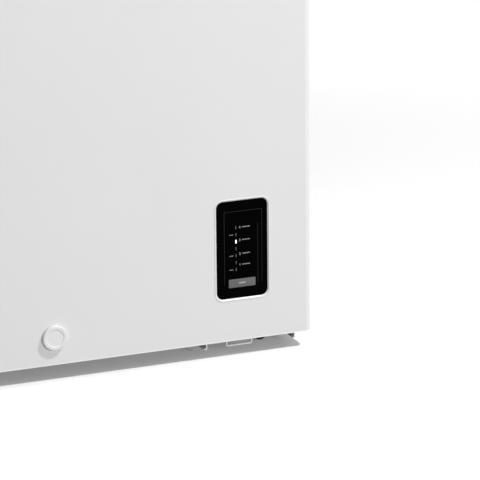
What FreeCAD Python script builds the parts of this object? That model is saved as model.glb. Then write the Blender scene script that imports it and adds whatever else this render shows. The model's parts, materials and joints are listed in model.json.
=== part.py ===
"""A chest freezer of about 150 litres, as a parametric document of separate pieces.

Frame: X to the user's right, Y from the front to the back, Z up. The origin is on the floor, in the middle of
the freezer's box. All sizes are millimetres, and they live in the sheet named sizes.
"""

import FreeCAD, Part
import math
import os
import re
import Sketcher

from FreeCAD import Placement, Rotation, Vector

SIZES = [
    # cabinet
    ("cab_wide", 745, "cabinet width over the side panels"),
    ("cab_deep", 545, "cabinet depth from the front panel to the back panel"),
    ("cab_tall", 760.5, "cabinet height from its lower edge to the rim"),
    ("edge_up", 24.5, "height of the cabinet's lower edge above the floor"),
    ("skin", 0.8, "thickness of the painted steel sheet"),
    ("corner_round", 10, "outside radius of the wrapper's front corners"),
    ("hem", 14, "width of the wrapper's turned-in flanges"),
    ("wall_thick", 60, "insulated wall from outside to the storage space"),
    ("pan_up", 20, "recess of the base pan above the lower edge"),
    ("floor_thick", 60, "insulated floor over the base pan"),
    ("step_thick", 55, "insulation over the machine space"),
    ("machine_wide", 225, "width of the machine space"),
    ("machine_tall", 230, "height of the machine space over the base pan"),
    ("liner_sheet", 0.8, "thickness of the liner"),
    ("liner_round", 24, "radius of the storage space's upright corners"),
    ("liner_foot", 14, "radius of the storage space's floor edges"),
    ("liner_flange", 10, "width of the liner's turned-out flange"),
    ("frame_thick", 4, "thickness of the plastic frame on the rim"),
    ("frame_lip", 1.8, "thickness of the frame's lip outside the cabinet"),
    ("frame_lip_drop", 7, "how far the frame's lip comes down outside"),
    ("frame_skirt", 2, "thickness of the frame's skirt in the mouth"),
    ("frame_skirt_drop", 16, "how far the skirt reaches down the liner"),
    ("snug", 0.3, "gap between a moulding and the sheet it sits on"),
    # control panel
    ("glass_wide", 80, "width of the touch glass"),
    ("glass_tall", 148.5, "height of the touch glass"),
    ("glass_round", 10, "corner radius of the touch glass"),
    ("glass_thick", 3, "thickness of the touch glass"),
    ("glass_sunk", 1.9, "how far the glass lies behind the bezel's rim"),
    ("glass_in", 70.25, "glass's right edge from the cabinet's side"),
    ("glass_up", 65.25, "glass's lower edge above the cabinet's lower edge"),
    ("bezel_rim", 3.4, "width of the bezel seen round the glass"),
    ("bezel_proud", 0.6, "how far the bezel stands out of the front panel"),
    ("bezel_slope", 1.8, "chamfer of the bezel towards the glass"),
    ("bezel_wall", 1.8, "wall of the bezel's body round the glass"),
    ("bezel_edge", 0.5, "rounding of the bezel's outer edge"),
    ("bezel_fit", 0.4, "gap round the bezel's body in the panel's hole"),
    ("bezel_shelf", 3, "shelf in the bezel that the glass lies on"),
    ("glass_gap", 0.15, "gap round the glass in its bezel"),
    ("bezel_deep", 6, "depth of the bezel's body behind the front panel"),
    ("box_deep", 24, "depth of the control housing"),
    ("box_wall", 2, "wall of the control housing"),
    ("box_edge", 8, "control housing's side outside the glass"),
    ("board_in", 3, "board's edge inside the glass's edge"),
    ("board_back", 4, "board behind the bezel's body"),
    ("post_round", 3, "radius of the posts behind the board"),
    ("harness_round", 3, "radius of the control cable"),
    ("harness_z", 190, "level at which the control cable leaves its housing"),
    ("probe_round", 3, "radius of the temperature probe"),
    ("probe_y", -120, "temperature probe's place from the middle"),
    ("probe_z", 200, "temperature probe's level"),
    ("board_thick", 1.6, "thickness of the circuit board"),
    # drain
    ("drain_x", -30.4, "drain's place across the cabinet"),
    ("drain_up", 42, "drain outlet above the cabinet's lower edge"),
    ("drain_in", 45, "drain hole from the storage space's front wall"),
    ("pipe_round", 10, "outside radius of the drain pipe"),
    ("pipe_bore", 8, "bore radius of the drain pipe"),
    ("pipe_bend", 24, "bend radius of the drain pipe"),
    ("collar_round", 15, "outside radius of the drain's collar"),
    ("collar_thick", 2.5, "thickness of the drain's collar"),
    ("cap_round", 18.5, "outside radius of the drain cap"),
    ("cap_wall", 2, "wall of the drain cap"),
    ("dish_round", 13.3, "radius of the shallow dish in the drain cap"),
    ("dish_deep", 0.7, "depth of the dish in the drain cap"),
    ("neck_wall", 2, "wall of the collar's and the socket's necks"),
    ("neck_long", 12, "length of those necks"),
    ("cap_play", 0.15, "radial gap between the drain cap and the collar"),
    ("plug_gap", 0.2, "gap round the drain plug's stem"),
    ("plug_flange", 13, "radius of the drain plug's head"),
    ("grip_round", 5, "radius of the drain plug's grip"),
    ("grip_tall", 6, "height of the drain plug's grip"),
    ("socket_round", 17, "radius of the drain socket's flange"),
    ("socket_thick", 2, "thickness of the drain socket's flange"),
    # rails under the cabinet and the compressor tray
    ("rail_in", 21.5, "rail's outer flange from the cabinet's side"),
    ("rail_wide", 141.5, "width of a rail over its flanges"),
    ("rail_drop", 13, "how far a rail's flanges hang below the cabinet"),
    ("rail_back", 14, "front end of a rail behind the front panel"),
    ("rail_sheet", 1.5, "thickness of the rails' sheet"),
    ("rail_lip", 4, "width of the lip along a rail's lower edge"),
    ("loop_in", 89.5, "loop's right side from the cabinet's side"),
    ("loop_wide", 42.2, "width of the loop"),
    ("loop_drop", 13.1, "how far the loop hangs below the cabinet"),
    ("loop_wire", 1.2, "radius of the loop's wire"),
    ("loop_round", 2.5, "bend radius of the loop's wire"),
    # castors
    ("castor_in_x", 50, "castor's swivel axis from the cabinet's side"),
    ("castor_in_y", 63, "castor's swivel axis from the front or the back"),
    ("wheel_round", 11, "radius of a castor wheel"),
    ("wheel_wide", 12, "width of a castor wheel"),
    ("wheel_hub", 4.4, "radius of a wheel's hub"),
    ("wheel_rim", 7.9, "inner radius of a wheel's tread"),
    ("wheel_dish", 1.2, "depth of the dish in a wheel's faces"),
    ("wheel_trail", 9, "distance from the swivel axis to the axle"),
    ("axle_round", 2.5, "radius of a castor's axle"),
    ("axle_head", 1, "height and rim of an axle's riveted heads"),
    ("fork_sheet", 2, "sheet of a castor's fork"),
    ("head_round", 13, "radius of a castor's swivel head"),
    ("mount_wide", 34, "side of a castor's square top plate"),
    ("mount_sheet", 2, "thickness of a castor's top plate"),
    ("pivot_round", 4, "radius of a castor's pivot"),
    ("rivet_round", 6, "radius of the pivot's riveted end"),
    ("crown_up", 7, "underside of a castor's head above its wheel"),
    ("run_gap", 0.05, "radial gap of a running fit"),
    ("side_gap", 0.5, "gap beside a wheel or a knuckle"),
    # compressor and pipes
    ("shell_round", 72, "radius of the compressor's shell"),
    ("shell_tall", 150, "height of the compressor's shell"),
    ("shell_wall", 3.5, "wall of the compressor's shell"),
    ("pump_round", 52, "radius of the compressor's motor and pump"),
    ("pump_tall", 85, "height of the compressor's motor and pump"),
    ("pump_up", 20, "motor above the inside of the shell"),
    ("shell_seam", 1, "how far the shell's weld seam stands out"),
    ("shell_edge", 24, "rounding of the shell's foot and top"),
    ("shell_y", 95, "compressor's axis from the middle, towards the back"),
    ("foot_up", 13, "compressor's foot plate above the tray"),
    ("foot_sheet", 2.5, "thickness of the foot plate"),
    ("foot_edge", 14.5, "foot plate's edge outside its bolts"),
    ("foot_round", 13, "corner radius of the foot plate"),
    ("foot_x", 76, "spacing of the compressor's mounts across"),
    ("foot_y", 168, "spacing of the compressor's mounts front to back"),
    ("bolt_round", 4, "radius of a mounting bolt"),
    ("bolt_head", 8, "radius of a bolt's head"),
    ("bolt_nut", 6.8, "radius of a bolt's nut"),
    ("grommet_round", 11, "radius of a rubber mount"),
    ("grommet_neck", 8, "radius of a rubber mount in the foot plate"),
    ("grommet_top", 10, "radius of a rubber mount over the foot plate"),
    ("port_up", 95, "suction port above the shell's underside"),
    ("relay_wide", 56, "width of the relay cover"),
    ("relay_tall", 60, "height of the relay cover"),
    ("relay_deep", 24, "depth of the relay cover in front of the shell"),
    ("relay_z", 150, "level of the relay cover's middle"),
    ("tray_flange", 12, "height of the compressor tray's upturned flanges"),
    ("evap_in", 30, "evaporator's right end from the step"),
    ("evap_round", 4, "outside radius of the evaporator tube"),
    ("evap_turns", 9, "levels of the evaporator tube, an odd number"),
    ("evap_low", 150, "lowest level of the evaporator tube"),
    ("evap_under", 45, "top level of the evaporator tube under the rim"),
    ("cond_in", 45, "condenser's right end from the machine space"),
    ("cond_round", 3, "outside radius of the condenser tube"),
    ("cond_turns", 7, "levels of the condenser tube, an odd number"),
    ("cond_low", 95, "lowest level of the condenser tube"),
    ("cond_under", 50, "top level of the condenser tube under the rim"),
    ("cond_bend", 12, "bend radius of the condenser tube at corners"),
    ("tube_gap", 0.2, "gap round a tube in its groove"),
    ("tube_drop", 18, "return tube's distance from the turns"),
    ("tube_exit", 15, "how far the tubes reach into the machine space"),
    ("cond_out", 230, "level at which the condenser tube comes out"),
    ("discharge_reach", 144, "how far the discharge pipe runs in front of the shell"),
    ("capillary_round", 1.2, "outside radius of the capillary tube"),
    ("drier_round", 9, "radius of the filter drier"),
    ("drier_long", 80, "length of the filter drier's body"),
    ("drier_neck", 4, "radius of the filter drier's neck"),
    ("drier_in", 27, "filter drier's end in front of the condenser tube"),
    # grilles at the machine space
    ("grille_deep", 180, "side grille, front to back"),
    ("grille_tall", 120, "side grille's height"),
    ("grille_y", 95, "side grille's middle, towards the back"),
    ("grille_up", 130, "side grille's middle above the lower edge"),
    ("grille_edge", 8, "border of the side grille on the side panel"),
    ("grille_sheet", 2, "thickness of the grilles"),
    ("slot_pitch", 10, "spacing of the louvre slots"),
    ("slot_tall", 5, "height of a louvre slot"),
    ("cover_tall", 190, "height of the rear machine cover"),
    ("cover_edge", 12, "border of the rear cover on the back panel"),
    ("gland_bore", 4, "bore radius of the mains lead's gland"),
    ("gland_body", 8, "radius of the gland in the rear cover's hole"),
    ("gland_face", 11.2, "radius of the gland's outer flange"),
    ("gland_clip", 10.4, "radius of the gland's inner clip"),
    ("gland_tail", 6.8, "radius of the gland's inner end"),
    ("gland_long", 14, "length of the gland's bore"),
    ("gland_in", 62, "gland's axis from the cabinet's side"),
    ("gland_up", 38, "gland's axis above the lower edge"),
    ("screw_edge", 6, "hinge screw's height above the bracket's lower edge"),
    ("screw_round", 2, "radius of a cover screw's shank"),
    ("screw_head", 4.2, "radius of a cover screw's head"),
    # lid
    ("lid_gap", 5, "lid's lower edge above the rim frame"),
    ("lid_tall", 56, "height of the lid"),
    ("lid_over", 8, "lid's overhang at the front"),
    ("lid_side", 4, "lid's overhang at each side"),
    ("lid_back", 1.5, "lid's overhang at the back"),
    ("lid_corner", 14, "radius of the lid's upright corners"),
    ("lid_edge", 9, "radius of the lid's upper edges"),
    ("lid_hem", 9, "width of the lid's turned-in hem"),
    ("lid_sheet", 1.5, "thickness of the lid's inner panel"),
    ("border", 10, "border of the inner panel outside the seal's channel"),
    ("channel", 6, "depth of the seal's channel"),
    ("plug_in", 20, "lid's plug from the mouth of the storage space"),
    ("plug_drop", 16, "how far the lid's plug hangs below the frame"),
    ("seal_in", 12, "seal's outer side from the cabinet's side"),
    ("seal_corner", 36, "radius of the seal's outer corners"),
    ("seal_wide", 16, "width of the seal"),
    # handle and lock
    ("handle_wide", 176, "width of the handle"),
    ("handle_deep", 18, "depth of the handle"),
    ("handle_drop", 23, "how far the handle hangs below the lid's edge"),
    ("handle_up", 42, "handle's top above the lid's edge"),
    ("handle_wall", 3, "wall of the handle's grip"),
    ("lock_drop", 12, "lock's axis below the lid's edge"),
    ("lock_round", 7.5, "radius of the lock barrel"),
    ("boss_round", 10, "radius of the boss round the lock"),
    ("key_wide", 1.9, "width of the key's slot"),
    ("key_tall", 7.5, "height of the key's slot"),
    ("key_deep", 9, "depth of the key's slot"),
    ("cam_long", 17, "length of the lock's cam from its axis"),
    ("cam_wide", 10, "width of the cam"),
    ("cam_thick", 2.5, "thickness of the cam"),
    ("cam_back", 2, "gap between the handle and the cam"),
    # hinges
    ("hinge_x", 235, "hinge's place from the middle"),
    ("pin_out", 12, "hinge pin's axis behind the back panel"),
    ("pin_up", 3, "hinge pin's axis above the lid's lower edge"),
    ("pin_round", 3, "radius of the hinge pin"),
    ("pin_head", 1.5, "height and rim of the hinge pin's heads"),
    ("ear_round", 8, "radius of the hinge's ears"),
    ("ear_thick", 3, "thickness of the hinge's ears"),
    ("knuckle_round", 7, "radius of the lid leaf's knuckles"),
    ("leaf_wide", 35, "width of the leaf between the ears"),
    ("knuckle_long", 10, "length of each knuckle"),
    ("leaf_tall", 42, "top of the lid's leaf above the lid's lower edge"),
    ("leaf_sheet", 2.5, "thickness of the leaf and the bracket"),
    ("bracket_tall", 85, "height of the hinge bracket's plate"),
    ("spring_wire", 1.05, "radius of the hinge spring's wire"),
    ("spring_turns", 5, "turns of the hinge spring"),
    # basket
    ("rim_wire", 2.5, "radius of the basket's rim wire"),
    ("hook_in", 20, "hook's middle from the basket's side"),
    ("hook_down", 20, "how far a hook's post reaches down the basket"),
    ("thin_wire", 1.5, "radius of the basket's other wires"),
    ("basket_wide", 196, "width of the basket over its rim"),
    ("basket_tall", 170, "height of the basket"),
    ("basket_gap", 6, "gap between the basket and the storage space"),
    ("hook_reach", 22, "how far the basket's hooks lie over the frame"),
]

PLACES = {
    "side_x": "cab_wide / 2",
    "front_proud": "lid_over + handle_deep",
    "back_proud": "pin_out + ear_round",
    "front_y": "(front_proud - cab_deep - back_proud) / 2",
    "back_y": "front_y + cab_deep",
    "back_in": "back_y - 2 * skin",
    "rim_z": "edge_up + cab_tall",
    "pan_z": "edge_up + pan_up",
    "well_x": "side_x - wall_thick",
    "well_front": "front_y + wall_thick",
    "well_back": "back_y - wall_thick",
    "floor_z": "pan_z + floor_thick",
    "machine_x": "side_x - machine_wide",
    "machine_z": "pan_z + machine_tall",
    "step_x": "machine_x - wall_thick",
    "step_z": "machine_z + step_thick",
    "frame_z": "rim_z + frame_thick",
    "cap_proud": "collar_thick + snug + cap_wall + dish_deep",
    "glass_right": "side_x - glass_in",
    "glass_left": "glass_right - glass_wide",
    "glass_low": "edge_up + glass_up",
    "glass_high": "glass_low + glass_tall",
    "glass_front": "front_y - bezel_proud + glass_sunk",
    "glass_back": "glass_front + glass_thick",
    "glass_mid": "(glass_left + glass_right) / 2",
    "box_back": "front_y + skin + box_deep",
    "drain_y": "well_front + drain_in",
    "drain_z": "edge_up + drain_up",
    "rail_z": "edge_up - rail_drop",
    "rail_top": "pan_z - skin",
    "web_z": "rail_top - rail_sheet",
    "tray_top": "rail_top + rail_sheet",
    "shell_x": "side_x - rail_in - rail_wide / 2",
    "foot_z": "tray_top + foot_up",
    "shell_z": "foot_z + foot_sheet",
    "port_z": "shell_z + port_up",
    "exit_x": "machine_x + tube_exit",
    "riser_x": "(exit_x + shell_x - shell_round) / 2",
    "evap_left": "-well_x - liner_sheet - tube_gap - evap_round",
    "evap_front": "well_front - liner_sheet - tube_gap - evap_round",
    "evap_back": "well_back + liner_sheet + tube_gap + evap_round",
    "evap_right": "step_x - evap_in",
    "evap_high": "rim_z - evap_under",
    "cond_left": "-side_x + skin + tube_gap + cond_round",
    "cond_front": "front_y + skin + tube_gap + cond_round",
    "cond_back": "back_in - tube_gap - cond_round",
    "cond_right": "machine_x - cond_in",
    "cond_high": "rim_z - cond_under",
    "lid_low": "frame_z + lid_gap",
    "lid_top": "lid_low + lid_tall",
    "lid_face": "front_y - lid_over",
    "lid_rear": "back_y + lid_back",
    "channel_z": "lid_low + skin + channel",
    "plug_x": "well_x - plug_in",
    "sheet_top": "channel_z + lid_sheet",
    "mouth_in": "snug + frame_skirt",
    "plug_z": "frame_z - plug_drop",
    "lock_z": "lid_low - lock_drop",
    "cam_y": "lid_face + cam_back",
    "basket_right": "well_x - mouth_in - basket_gap",
    "basket_left": "basket_right - basket_wide",
    "basket_front": "well_front + mouth_in + basket_gap",
    "basket_rear": "well_back - mouth_in - basket_gap",
    "basket_top": "plug_z - basket_gap",
    "basket_low": "basket_top - basket_tall",
    "pin_y": "back_y + pin_out",
    "pin_z": "lid_low + pin_up",
}

DOC = FreeCAD.newDocument("chest_freezer")
RULER = DOC.addObject("App::VarSet", "ruler")
NAMES = [name for name, _, _ in SIZES]
PIECES = []
TURNS = {
    "x": Rotation(Vector(0, 1, 0), 90),
    "y": Rotation(Vector(1, 0, 0), -90),
    "z": Rotation(),
}


# ---------------------------------------------------------------- the sheet and its expressions


def make_sheet():
    """Write each driving dimension, its alias and its meaning into the sheet."""
    sheet = DOC.addObject("Spreadsheet::Sheet", "sizes")
    for row, (name, value, meaning) in enumerate(SIZES, start=1):
        sheet.set(f"A{row}", name)
        sheet.set(f"B{row}", str(value))
        sheet.set(f"C{row}", meaning)
        sheet.setAlias(f"B{row}", name)
    RULER.addProperty("App::PropertyFloat", "reading")
    DOC.recompute()


def full(text):
    """An expression with its places written out and the sheet named before each size."""

    def swap(found):
        word = found.group(0)
        if word in PLACES:
            return "(" + full(PLACES[word]) + ")"
        return "sizes." + word if word in NAMES else word

    return re.sub(r"[a-z][a-z_]*", swap, str(text))


def size(text):
    """The value of an expression, read from a property that is bound to it."""
    RULER.setExpression("reading", full(text))
    RULER.recompute()
    return RULER.reading


def point(x, y, z):
    """A point from three expressions."""
    return Vector(size(x), size(y), size(z))


def piece(label, made):
    """Give a finished sub-part its name and put it on the list of pieces."""
    made.Label = label
    PIECES.append(made)
    return made


# ---------------------------------------------------------------- primitives bound to the sheet


def block(name, x, y, z):
    """A box from its low and high expression on each axis."""
    box = DOC.addObject("Part::Box", name)
    for side, axis, (low, high) in zip(("Length", "Width", "Height"), "xyz", (x, y, z)):
        box.setExpression(side, full(f"({high}) - ({low})"))
        box.setExpression(f"Placement.Base.{axis}", full(low))
    box.recompute()
    return box


def rod(name, axis, centre, span, radius):
    """A cylinder along an axis. centre holds its other two coordinates, and span its two ends."""
    bar = DOC.addObject("Part::Cylinder", name)
    bar.Placement = Placement(Vector(), TURNS[axis])
    others = [a for a in "xyz" if a != axis]
    bar.setExpression("Radius", full(radius))
    bar.setExpression("Height", full(f"({span[1]}) - ({span[0]})"))
    bar.setExpression(f"Placement.Base.{axis}", full(span[0]))
    for other, place in zip(others, centre):
        bar.setExpression(f"Placement.Base.{other}", full(place))
    bar.recompute()
    return bar


def fuse(name, *shapes):
    """One solid from several that touch."""
    made = DOC.addObject("Part::MultiFuse", name)
    made.Shapes = list(shapes)
    made.recompute()
    return made


def group(name, *shapes):
    """Several separate solids under one name."""
    made = DOC.addObject("Part::Compound", name)
    made.Links = list(shapes)
    made.recompute()
    return made


def cut(name, base, *tools):
    """The base less one tool or several."""
    made = DOC.addObject("Part::Cut", name)
    made.Base = base
    made.Tool = tools[0] if len(tools) == 1 else group(name + "_tools", *tools)
    made.recompute()
    return made


def common(name, first, second):
    """What two shapes share."""
    made = DOC.addObject("Part::Common", name)
    made.Base = first
    made.Tool = second
    made.recompute()
    return made


def edges_where(shape, test):
    """Numbers of the edges that pass a test."""
    return [number for number, edge in enumerate(shape.Edges, start=1) if test(edge)]


def rounded(name, base, radius, test):
    """The base with a fillet on each edge that passes the test."""
    made = DOC.addObject("Part::Fillet", name)
    made.Base = base
    value = size(radius)
    made.Edges = [(number, value, value) for number in edges_where(base.Shape, test)]
    made.recompute()
    return made


def along(axis):
    """A test for straight edges parallel to an axis."""
    index = "xyz".index(axis)

    def test(edge):
        way = edge.Vertexes[-1].Point - edge.Vertexes[0].Point
        return way.Length > 0 and abs(way[index]) > 0.999 * way.Length

    return test


def at(axis, place):
    """A test for edges with both ends at a place on an axis."""
    index = "xyz".index(axis)
    value = size(place)
    return lambda edge: all(abs(end.Point[index] - value) < 0.01 for end in edge.Vertexes)


def front_upright(edge):
    """A test for the upright edges in front of the middle."""
    return along("z")(edge) and edge.Vertexes[0].Point.y < 0


# ---------------------------------------------------------------- sketches and bodies


def origin_plane(body, role):
    """One of a body's own origin planes, by its role."""
    return next(o for o in body.Origin.OriginFeatures if o.Role == role)


def outline(body, role, points, offset=("0", "0", "0")):
    """A closed polygon on one of the body's origin planes, each corner held from the sketch's origin."""
    sketch = body.newObject("Sketcher::SketchObject", body.Name + "_outline")
    sketch.AttachmentSupport = [(origin_plane(body, role), "")]
    sketch.MapMode = "FlatFace"
    corners = [Vector(size(u), size(v), 0) for u, v in points]
    for start, end in zip(corners, corners[1:] + corners[:1]):
        sketch.addGeometry(Part.LineSegment(start, end), False)
    count = len(points)
    for number, (u, v) in enumerate(points):
        sketch.addConstraint(Sketcher.Constraint("Coincident", number, 2, (number + 1) % count, 1))
        for kind, text in (("DistanceX", u), ("DistanceY", v)):
            held = sketch.addConstraint(Sketcher.Constraint(kind, -1, 1, number, 1, size(text)))
            sketch.setExpression(f"Constraints[{held}]", full(text))
    for axis, text in zip("xyz", offset):
        sketch.setExpression(f"AttachmentOffset.Base.{axis}", full(text))
    sketch.recompute()
    return sketch


def prism(name, axis, span, points):
    """A body padded from a polygon along an axis, between two expressions.

    The polygon's two coordinates are the other two axes in x, y, z order.
    """
    body = DOC.addObject("PartDesign::Body", name)
    role = {"x": "YZ_Plane", "y": "XZ_Plane", "z": "XY_Plane"}[axis]
    start = f"-({span[0]})" if axis == "y" else span[0]
    sketch = outline(body, role, points, ("0", "0", start))
    pad = body.newObject("PartDesign::Pad", name + "_pad")
    pad.Profile = sketch
    pad.Reversed = axis == "y"
    pad.setExpression("Length", full(f"({span[1]}) - ({span[0]})"))
    DOC.recompute()
    return body


def turned(name, axis, centre, points):
    """A body turned about an axis through a centre, from (place along the axis, radius) points."""
    body = DOC.addObject("PartDesign::Body", name)
    x, y, z = centre
    role = "YZ_Plane" if axis == "y" else "XZ_Plane"
    offset = (y, z, x) if axis == "y" else (x, z, f"-({y})")
    if axis == "z":
        points = [(radius, place) for place, radius in points]
    sketch = outline(body, role, points, offset)
    turn = body.newObject("PartDesign::Revolution", name + "_turn")
    turn.Profile = sketch
    turn.ReferenceAxis = (sketch, ["V_Axis" if axis == "z" else "H_Axis"])
    turn.Angle = 360
    DOC.recompute()
    return body


def soften(body, radius, test):
    """A PartDesign fillet on each of the body's edges that passes the test."""
    base = body.Tip
    made = body.newObject("PartDesign::Fillet", body.Name + "_fillet")
    made.Base = (base, [f"Edge{number}" for number in edges_where(base.Shape, test)])
    made.setExpression("Radius", full(radius))
    body.Tip = made
    DOC.recompute()
    return body


# ---------------------------------------------------------------- bent tubes and wires


def bent_path(corners, bend):
    """A wire of straight runs with an arc at each corner, no arc larger than its runs allow."""
    edges = []
    here = corners[0]
    for before, corner, after in zip(corners, corners[1:], corners[2:]):
        way_in = (corner - before).normalize()
        way_out = (after - corner).normalize()
        half_turn = way_in.getAngle(way_out) / 2
        room = 0.49 * min((corner - before).Length, (after - corner).Length)
        back = min(bend * math.tan(half_turn), room)
        start = corner - way_in * back
        end = corner + way_out * back
        bisector = (way_out - way_in).normalize()
        radius = back / math.tan(half_turn)
        middle = corner + bisector * (radius / math.cos(half_turn) - radius)
        if (start - here).Length > 1e-6:
            edges.append(Part.LineSegment(here, start).toShape())
        edges.append(Part.Arc(start, middle, end).toShape())
        here = end
    edges.append(Part.LineSegment(here, corners[-1]).toShape())
    return Part.Wire(edges)


def swept(path, radius):
    """A round solid along a wire, with its volume checked against its section times its length."""
    first = path.OrderedEdges[0]
    start = first.valueAt(first.FirstParameter)
    way = first.tangentAt(first.FirstParameter)
    section = Part.Wire(Part.Circle(start, way, radius).toShape())
    solid = path.makePipeShell([section], True, False)
    wanted = math.pi * radius**2 * path.Length
    if abs(solid.Volume - wanted) > 0.02 * wanted:
        raise ValueError(f"a swept tube holds {solid.Volume:.0f} mm3 and should hold {wanted:.0f}")
    return solid


def tube(label, corners, bend, radius):
    """A sub-part that is one bent tube, from corner points given as expressions."""
    made = DOC.addObject("Part::Feature", label + "_sweep")
    made.Shape = swept(bent_path([point(*c) for c in corners], bend), size(radius))
    return piece(label, made)


def groove(name, corners, bend, reach):
    """A room for a bent tube: a box round each run and arc of its path."""
    path = bent_path([point(*c) for c in corners], bend)
    boxes = []
    for edge in path.OrderedEdges:
        room = edge.BoundBox
        room.enlarge(size(reach))
        low = Vector(room.XMin, room.YMin, room.ZMin)
        boxes.append(Part.makeBox(room.XLength, room.YLength, room.ZLength, low))
    made = DOC.addObject("Part::Feature", name)
    made.Shape = Part.makeCompound(boxes)
    return made


# ---------------------------------------------------------------- cabinet


def pane(name, grow, y_span):
    """A block in the outline of the touch glass, grown all round and with its corners rounded to match."""
    x_span = (f"glass_left - ({grow})", f"glass_right + ({grow})")
    z_span = (f"glass_low - ({grow})", f"glass_high + ({grow})")
    return rounded(name, block(name + "_box", x_span, y_span, z_span), f"glass_round + ({grow})", along("y"))


def inside_box(name):
    """The space inside the wrapper."""
    x_span = ("-side_x + skin", "side_x - skin")
    box = block(name + "_box", x_span, ("front_y + skin", "back_in"), ("edge_up + skin", "rim_z - skin"))
    return rounded(name, box, "corner_round - skin", front_upright)


def outer_wrapper():
    """The painted sheet of the front and the two sides, with flanges turned in at top, bottom and back."""
    x_span = ("-side_x", "side_x")
    box = block("wrapper_box", x_span, ("front_y", "back_y - skin"), ("edge_up", "rim_z"))
    outside = rounded("wrapper_outside", box, "corner_round", front_upright)
    x_inner = ("-side_x + hem", "side_x - hem")
    y_inner = ("front_y + hem", "back_in - hem")
    grille_y_span = ("grille_y - grille_deep / 2", "grille_y + grille_deep / 2")
    grille_z_span = ("edge_up + grille_up - grille_tall / 2", "edge_up + grille_up + grille_tall / 2")
    openings = [
        inside_box("wrapper_inside"),
        block("wrapper_mouth", x_inner, y_inner, ("rim_z - hem", "rim_z + hem")),
        block("wrapper_underside", x_inner, y_inner, ("edge_up - hem", "edge_up + hem")),
        block("wrapper_rear", x_inner, ("back_in - skin", "back_y"), ("edge_up + hem", "rim_z - hem")),
        pane("wrapper_control_hole", "snug + bezel_wall + bezel_fit", ("front_y - hem", "front_y + hem")),
        rod("wrapper_drain_hole", "y", ("drain_x", "drain_z"), ("front_y - hem", "front_y + hem"),
            "pipe_round + neck_wall + 2 * snug"),
        block("wrapper_grille_hole", ("side_x - hem", "side_x + hem"), grille_y_span, grille_z_span),
    ]
    piece("outer_wrapper", cut("wrapper_sheet", outside, *openings))


def screw_places():
    """Where the screws of the rear cover and of the two hinges stand, as x and z expressions."""
    places = []
    for x in ("machine_x + 1.5 * cover_edge", "side_x - 1.5 * cover_edge"):
        for z in ("edge_up + 1.5 * cover_edge", "edge_up + cover_tall + 0.5 * cover_edge"):
            places.append((x, z))
    for side in ("-hinge_x", "hinge_x"):
        for across in ("- leaf_wide / 3", "+ leaf_wide / 3"):
            for z in ("lid_low - bracket_tall / 4", "lid_low - bracket_tall + screw_edge"):
                places.append((f"{side} {across}", z))
    return places


def screw_holes(name, y_span):
    """Clearance holes for those screws."""
    spots = enumerate(screw_places())
    return [rod(f"{name}_{n}", "y", spot, y_span, "screw_round + run_gap") for n, spot in spots]


def back_panel():
    """The galvanised sheet that closes the back, with an opening to the machine space."""
    sheet = block("back_sheet", ("-side_x", "side_x"), ("back_y - skin", "back_y"), ("edge_up", "rim_z"))
    x_span = ("machine_x + 2 * cover_edge", "side_x - 2 * cover_edge")
    window = block("back_window", x_span, ("back_in", "back_y + hem"),
                   ("edge_up + 2 * cover_edge", "edge_up + cover_tall"))
    holes = screw_holes("back_hole", ("back_in", "back_y + hem"))
    piece("back_panel", cut("back_cut", sheet, window, *holes))


def wall_passages(name):
    """Holes in the machine space's wall for the evaporator and the probe, and notches for the condenser."""
    x_span = ("machine_x - hem", "machine_x + hem")
    room = "(cond_round + tube_gap)"
    holes = [("evap_front", "evap_low", "evap_round"), ("evap_back", "port_z", "evap_round"),
             ("probe_y", "probe_z", "probe_round")]
    tools = []
    for n, (y, z, radius) in enumerate(holes):
        tools.append(rod(f"{name}_{n}", "x", (y, z), x_span, f"{radius} + tube_gap"))
    tools.append(block(f"{name}_front", x_span, ("front_y", f"cond_front + {room}"),
                       (f"cond_low - {room}", f"cond_low + {room}")))
    tools.append(block(f"{name}_back", x_span, (f"cond_back - {room}", "back_y"),
                       (f"cond_out - {room}", f"cond_out + {room}")))
    return tools


def base_pan():
    """The bent sheet under the insulation, which steps up over the machine space."""
    outline_points = [
        ("-side_x + skin", "pan_z - skin"),
        ("machine_x + skin", "pan_z - skin"),
        ("machine_x + skin", "machine_z - skin"),
        ("side_x - skin", "machine_z - skin"),
        ("side_x - skin", "machine_z"),
        ("machine_x", "machine_z"),
        ("machine_x", "pan_z"),
        ("-side_x + skin", "pan_z"),
    ]
    sheet = prism("pan_sheet", "y", ("front_y + skin", "back_in"), outline_points)
    trimmed = common("pan_trimmed", sheet, inside_box("pan_inside"))
    piece("base_pan", cut("pan_cut", trimmed, *wall_passages("pan_hole")))


def well(name, grow):
    """The storage space with its step, grown all round."""
    y_span = (f"well_front - {grow}", f"well_back + {grow}")
    deep = block(name + "_deep_box", (f"-well_x - {grow}", f"step_x + {grow}"), y_span,
                 (f"floor_z - {grow}", "rim_z + hem"))
    wide = block(name + "_wide_box", (f"-well_x - {grow}", f"well_x + {grow}"), y_span,
                 (f"step_z - {grow}", "rim_z + hem"))
    parts = []
    for part, floor in ((deep, "floor_z"), (wide, "step_z")):
        uprights = rounded(part.Name + "_sides", part, f"liner_round + {grow}", along("z"))
        at_floor = at("z", f"{floor} - {grow}")
        parts.append(rounded(part.Name + "_floor", uprights, f"liner_foot + {grow}", at_floor))
    return fuse(name, *parts)


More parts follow.
